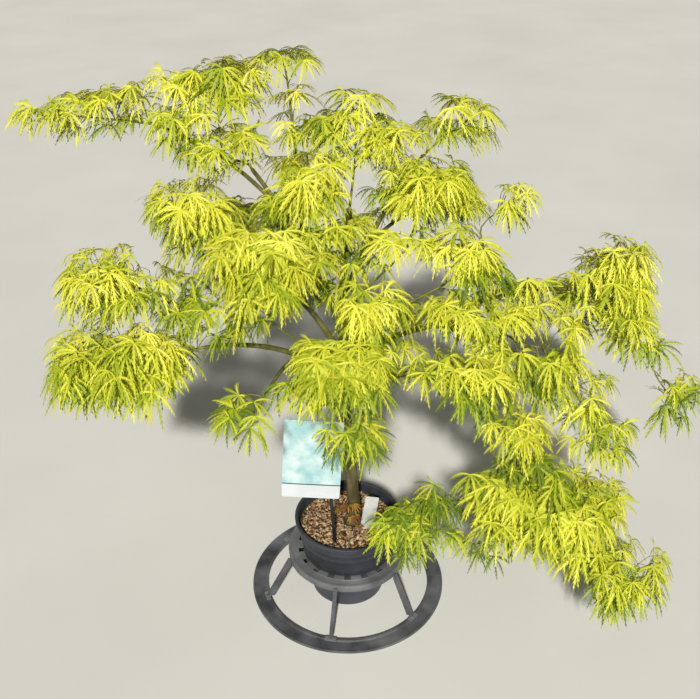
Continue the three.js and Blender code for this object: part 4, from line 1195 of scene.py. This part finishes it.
class Crown:
    """The plant's finer growth: twigs, petioles and leaves."""

    def __init__(self, limbs, masses, stems):
        self.limbs = limbs
        self.masses = masses
        self.stems = stems
        self.twigs = Build()
        self.petioles = Build()
        self.leaves = {}
        self.places = []

    def tone(self, mass, place, rng):
        """A spray's tone: yellower at the top and outside of the crown, more green low and inside; partly the
        leaves' own colour and partly painted sunlight and shade.
        """
        level = (place[2] - mass.centres[:, 2].min()) / TONE.puff_height
        skin = mass.depth(place)[0] - TONE.mean_skin
        height = (place[2] - TONE.mean_height) / TONE.height
        score = TONE.mean + TONE.level * level + TONE.skin * skin + height - mass.greener
        return int(np.clip(round(score + rng.normal(0, TONE.spread)), 0, len(LEAF_TONES) - 1))

    def add_spray(self, mass, root, place, lean, rng, build):
        """Pairs of leaves on petioles from a twig: one at its end and, on a long twig, one below."""
        petiole = mass.leaf.petiole
        tip = place - unit(place - root) * 0.6 * petiole
        middle = 0.5 * (root + tip) + [0, 0, TWIG.rise * norm(tip - root)]
        path = bezier_path([root, middle, tip], 12)
        tone = int(rng.integers(len(BRONZE_TONES))) if mass.is_shoot else self.tone(mass, place, rng)
        added = 0
        for joint, yaw in SHOOT_PAIRS if mass.is_shoot else SPRAY_PAIRS:
            if joint < 1 and path.length < TWIG.short:
                continue
            node = path.at(joint)
            heading = unit(path.heading(min(joint, 0.98)) * [1, 1, 0.3])
            across = unit(np.cross(UP, heading))
            for hand in (-1, 1):
                turn = radians(yaw + rng.uniform(-TWIG.turn, TWIG.turn))
                aside = heading * cos(turn) + across * hand * sin(turn)
                out = unit(aside + UP * rng.uniform(0, TWIG.up))
                centre = node + out * petiole * rng.uniform(*TWIG.petiole)
                added += self.add_leaf_at(mass, node, centre, out, lean, tone, rng, build)
        if added:
            shares = np.linspace(0, 1, 6)
            radii = mass.leaf.twig_radius * (1 - TWIG.taper * shares)
            self.twigs.add(*tube(path.at(shares), radii, 5))
        return added

    def has_room(self, mass, centre, mid):
        """True for a leaf in its mass and the box that is clear of pot, limbs and the crown's openings."""
        tips = mid[:, -1]
        if not clear_of_pot(np.concatenate([tips, mid[:, LOBE_STEPS // 2]])):
            return False
        if mass.depth(tips).max() > mass.skin:
            return False
        if not clear_of_limbs(np.array([centre]), self.limbs, LIMB_KEEP_OFF.leaf):
            return False
        if (tips < REACH[0]).any() or (tips > REACH[1]).any():
            return False
        return mass.is_shoot or share_in_gaps(mid[:, 3::3].reshape(-1, 3)) <= GAP_SHARE

    def add_leaf_at(self, mass, node, centre, out, lean, tone, rng, build):
        """A leaf on its petiole, smaller where a large one has no room; gives how many were added."""
        axis, forward = leaf_facing(centre, out, lean, rng)
        lobes = 7 if mass.is_shoot or rng.random() < 0.4 else 9
        droop = rng.uniform(*mass.leaf.droop)
        shape_seed = int(rng.integers(1 << 30))
        for size in LEAF_SIZES:
            radius = mass.radius * size * (0.72 + 0.4 * (shape_seed % 100) / 100)
            shape_rng = np.random.default_rng(shape_seed)
            points, mid = leaf_points(centre, axis, forward, radius, lobes, droop, shape_rng,
                                      mass.leaf.breadth)
            if not self.has_room(mass, centre, mid):
                continue
            most = len(BRONZE_TONES if mass.is_shoot else LEAF_TONES) - 1
            # Each lobe's tone steps one up or down at random: painted light and shade between lobes, as well
            # as uneven colour
            add_leaf(build, points, np.clip(tone + rng.choice([-1, 0, 0, 1], lobes), 0, most))
            bend = 0.5 * (node + centre) + [0, 0, TWIG.petiole_rise * norm(centre - node)]
            shares = np.linspace(0, 1, 4)
            radii = mass.leaf.petiole_radius * (1 - 0.25 * shares)
            stalk = tube(bezier_path([node, bend, centre], 8).at(shares), radii, 3)
            self.petioles.add(*stalk, int(rng.random() < PINK_SHARE))
            return 1
        return 0

    def add_stem(self, stem):
        shares = np.linspace(0, 1, 26)
        self.twigs.add(*tube(stem.path.at(shares), stem.radius_at(shares), 6))

    def grow(self, mass, stem, is_filling=False):
        """Sprays on twigs from a stem, in a mass's own space or wherever the crown has room round a bough."""
        draw = seeded_draws(mass.seed)
        rng = np.random.default_rng(mass.seed)
        others = [other for other in self.limbs + self.stems if other is not stem]
        spacing = mass.leaf.spacing * mass.radius
        build = Build()
        kept = list(self.places) if is_filling else []
        first = len(kept)
        for place in spray_places(mass, draw):
            root = twig_root(stem, place, draw)
            lean = np.array([next(draw) - 0.5, next(draw) - 0.5, 0]) * 0.4
            if any(norm(other - place) < spacing for other in kept):
                continue
            if not is_filling and not is_own_place(mass, self.masses, place):
                continue
            route = root + (place - root) * np.linspace(0.15, 1, 12)[:, None]
            if not clear_of_limbs(route, others, LIMB_KEEP_OFF.twig):
                continue
            if self.add_spray(mass, root, place, lean, rng, build):
                kept.append(place)
        self.leaves[mass.name] = build
        self.places += kept[first:]

    def make(self):
        """The joined pieces: leaves in groups of masses, then the twigs and the petioles."""
        group, names, number = Build(), [], 1
        for mass in self.masses:
            if mass.is_shoot:
                shoot = self.leaves[mass.name].object("shoot_leaves", BRONZE_TONES)
                settle(shoot, "bronze_foliage", "foliage_low_shoot")
                continue
            build = self.leaves[mass.name]
            if group.size + build.size > MOST_TRIANGLES:
                settle(group.object(f"leaves_{number}", LEAF_TONES), "foliage", *names)
                group, names, number = Build(), [], number + 1
            group.join(build)
            names.append(f"foliage_{mass.name}")
        settle(group.object(f"leaves_{number}", LEAF_TONES), "foliage", *names)
        along = Build()
        for name, build in self.leaves.items():
            if name.startswith("along_") and build.size:
                along.join(build)
        settle(along.object("leaves_along_boughs", LEAF_TONES), "foliage")
        settle(self.twigs.object("twigs", [TWIG_BARK]), "bark")
        settle(self.petioles.object("petioles", PETIOLE_TONES), "foliage")


def make_plant():
    named = {"trunk": trunk_limb()}
    for name, parent, at, end, arch, radii in BOUGHS:
        named[name] = bough_limb(name, named[parent], at, end, arch, radii)
    limbs = list(named.values())
    for number, limb in enumerate(limbs):
        make_limb(limb, SIDES.trunk if limb.name == "trunk" else SIDES.bough, number)
    masses = [Mass(*row, number) for number, row in enumerate(MASSES)]
    stems = [mass.stem(named[mass.limb]) for mass in masses]
    crown = Crown(limbs, masses, stems)
    for mass, stem in zip(masses, stems):
        crown.add_stem(stem)
        crown.grow(mass, stem)
    for number, limb in enumerate(limbs):
        crown.grow(along_mass(limb, len(masses) + number), limb, True)
    crown.make()


# The studio: lights, the world's glow and half the floor's width, in metres
KEY = Values(strength=3.7, angle=3, colour=(1.0, 0.97, 0.9), heading=(0.074, 1.25, -1))
FILL = Values(strength=3.5, size=3.5, place=(2.6, -1.6, 2.8), aim=(0, 0, 0.5))
GLOW = Values(colour=(226, 228, 218), strength=0.18)
FLOOR_HALF = 20


def make_floor():
    material, tree, shader = new_material("studio_floor", roughness=0.85, specular=0.2)
    clouds = noise_node(tree, scale=1.5, detail=3)
    add_colour(tree, shader, clouds, [(0.3, (222, 221, 218)), (0.7, (230, 229, 226))])
    mesh = bpy.data.meshes.new("floor")
    corners = [(x * FLOOR_HALF, y * FLOOR_HALF, 0) for x, y in ((-1, -1), (1, -1), (1, 1), (-1, 1))]
    mesh.from_pydata(corners, [], [(0, 1, 2, 3)])
    as_piece("floor", mesh, [material])


def make_lights():
    sun = bpy.data.lights.new("key", "SUN")
    sun.energy = KEY.strength
    sun.angle = radians(KEY.angle)
    sun.color = KEY.colour
    key = bpy.data.objects.new("key", sun)
    key.rotation_euler = Vector(KEY.heading).to_track_quat("-Z", "Y").to_euler()
    area = bpy.data.lights.new("fill", "AREA")
    area.energy = FILL.strength
    area.size = FILL.size
    fill = bpy.data.objects.new("fill", area)
    fill.location = FILL.place
    fill.rotation_euler = (Vector(FILL.aim) - fill.location).to_track_quat("-Z", "Y").to_euler()
    for light in (key, fill):
        bpy.context.scene.collection.objects.link(light)
    world = bpy.data.worlds.new("studio")
    world.use_nodes = True
    background = world.node_tree.nodes["Background"]
    background.inputs["Color"].default_value = srgb(*GLOW.colour)
    background.inputs["Strength"].default_value = GLOW.strength
    bpy.context.scene.world = world
    bpy.context.scene.view_settings.view_transform = "Standard"


def make_camera():
    camera = bpy.data.cameras.new("camera")
    camera.lens = CAMERA_LENS
    camera.sensor_width = SENSOR_WIDTH
    holder = bpy.data.objects.new("camera", camera)
    holder.location = CAMERA_PLACE
    holder.rotation_euler = (radians(90 - CAMERA_DOWN), 0, 0)
    bpy.context.scene.collection.objects.link(holder)
    bpy.context.scene.camera = holder


make_camera()
make_lights()
make_floor()
make_pot()
make_soil()
make_collar()
make_base_ring()
for leg_number in range(1, LEG.count + 1):
    make_leg(leg_number)
make_label()
make_tag()
make_plant()
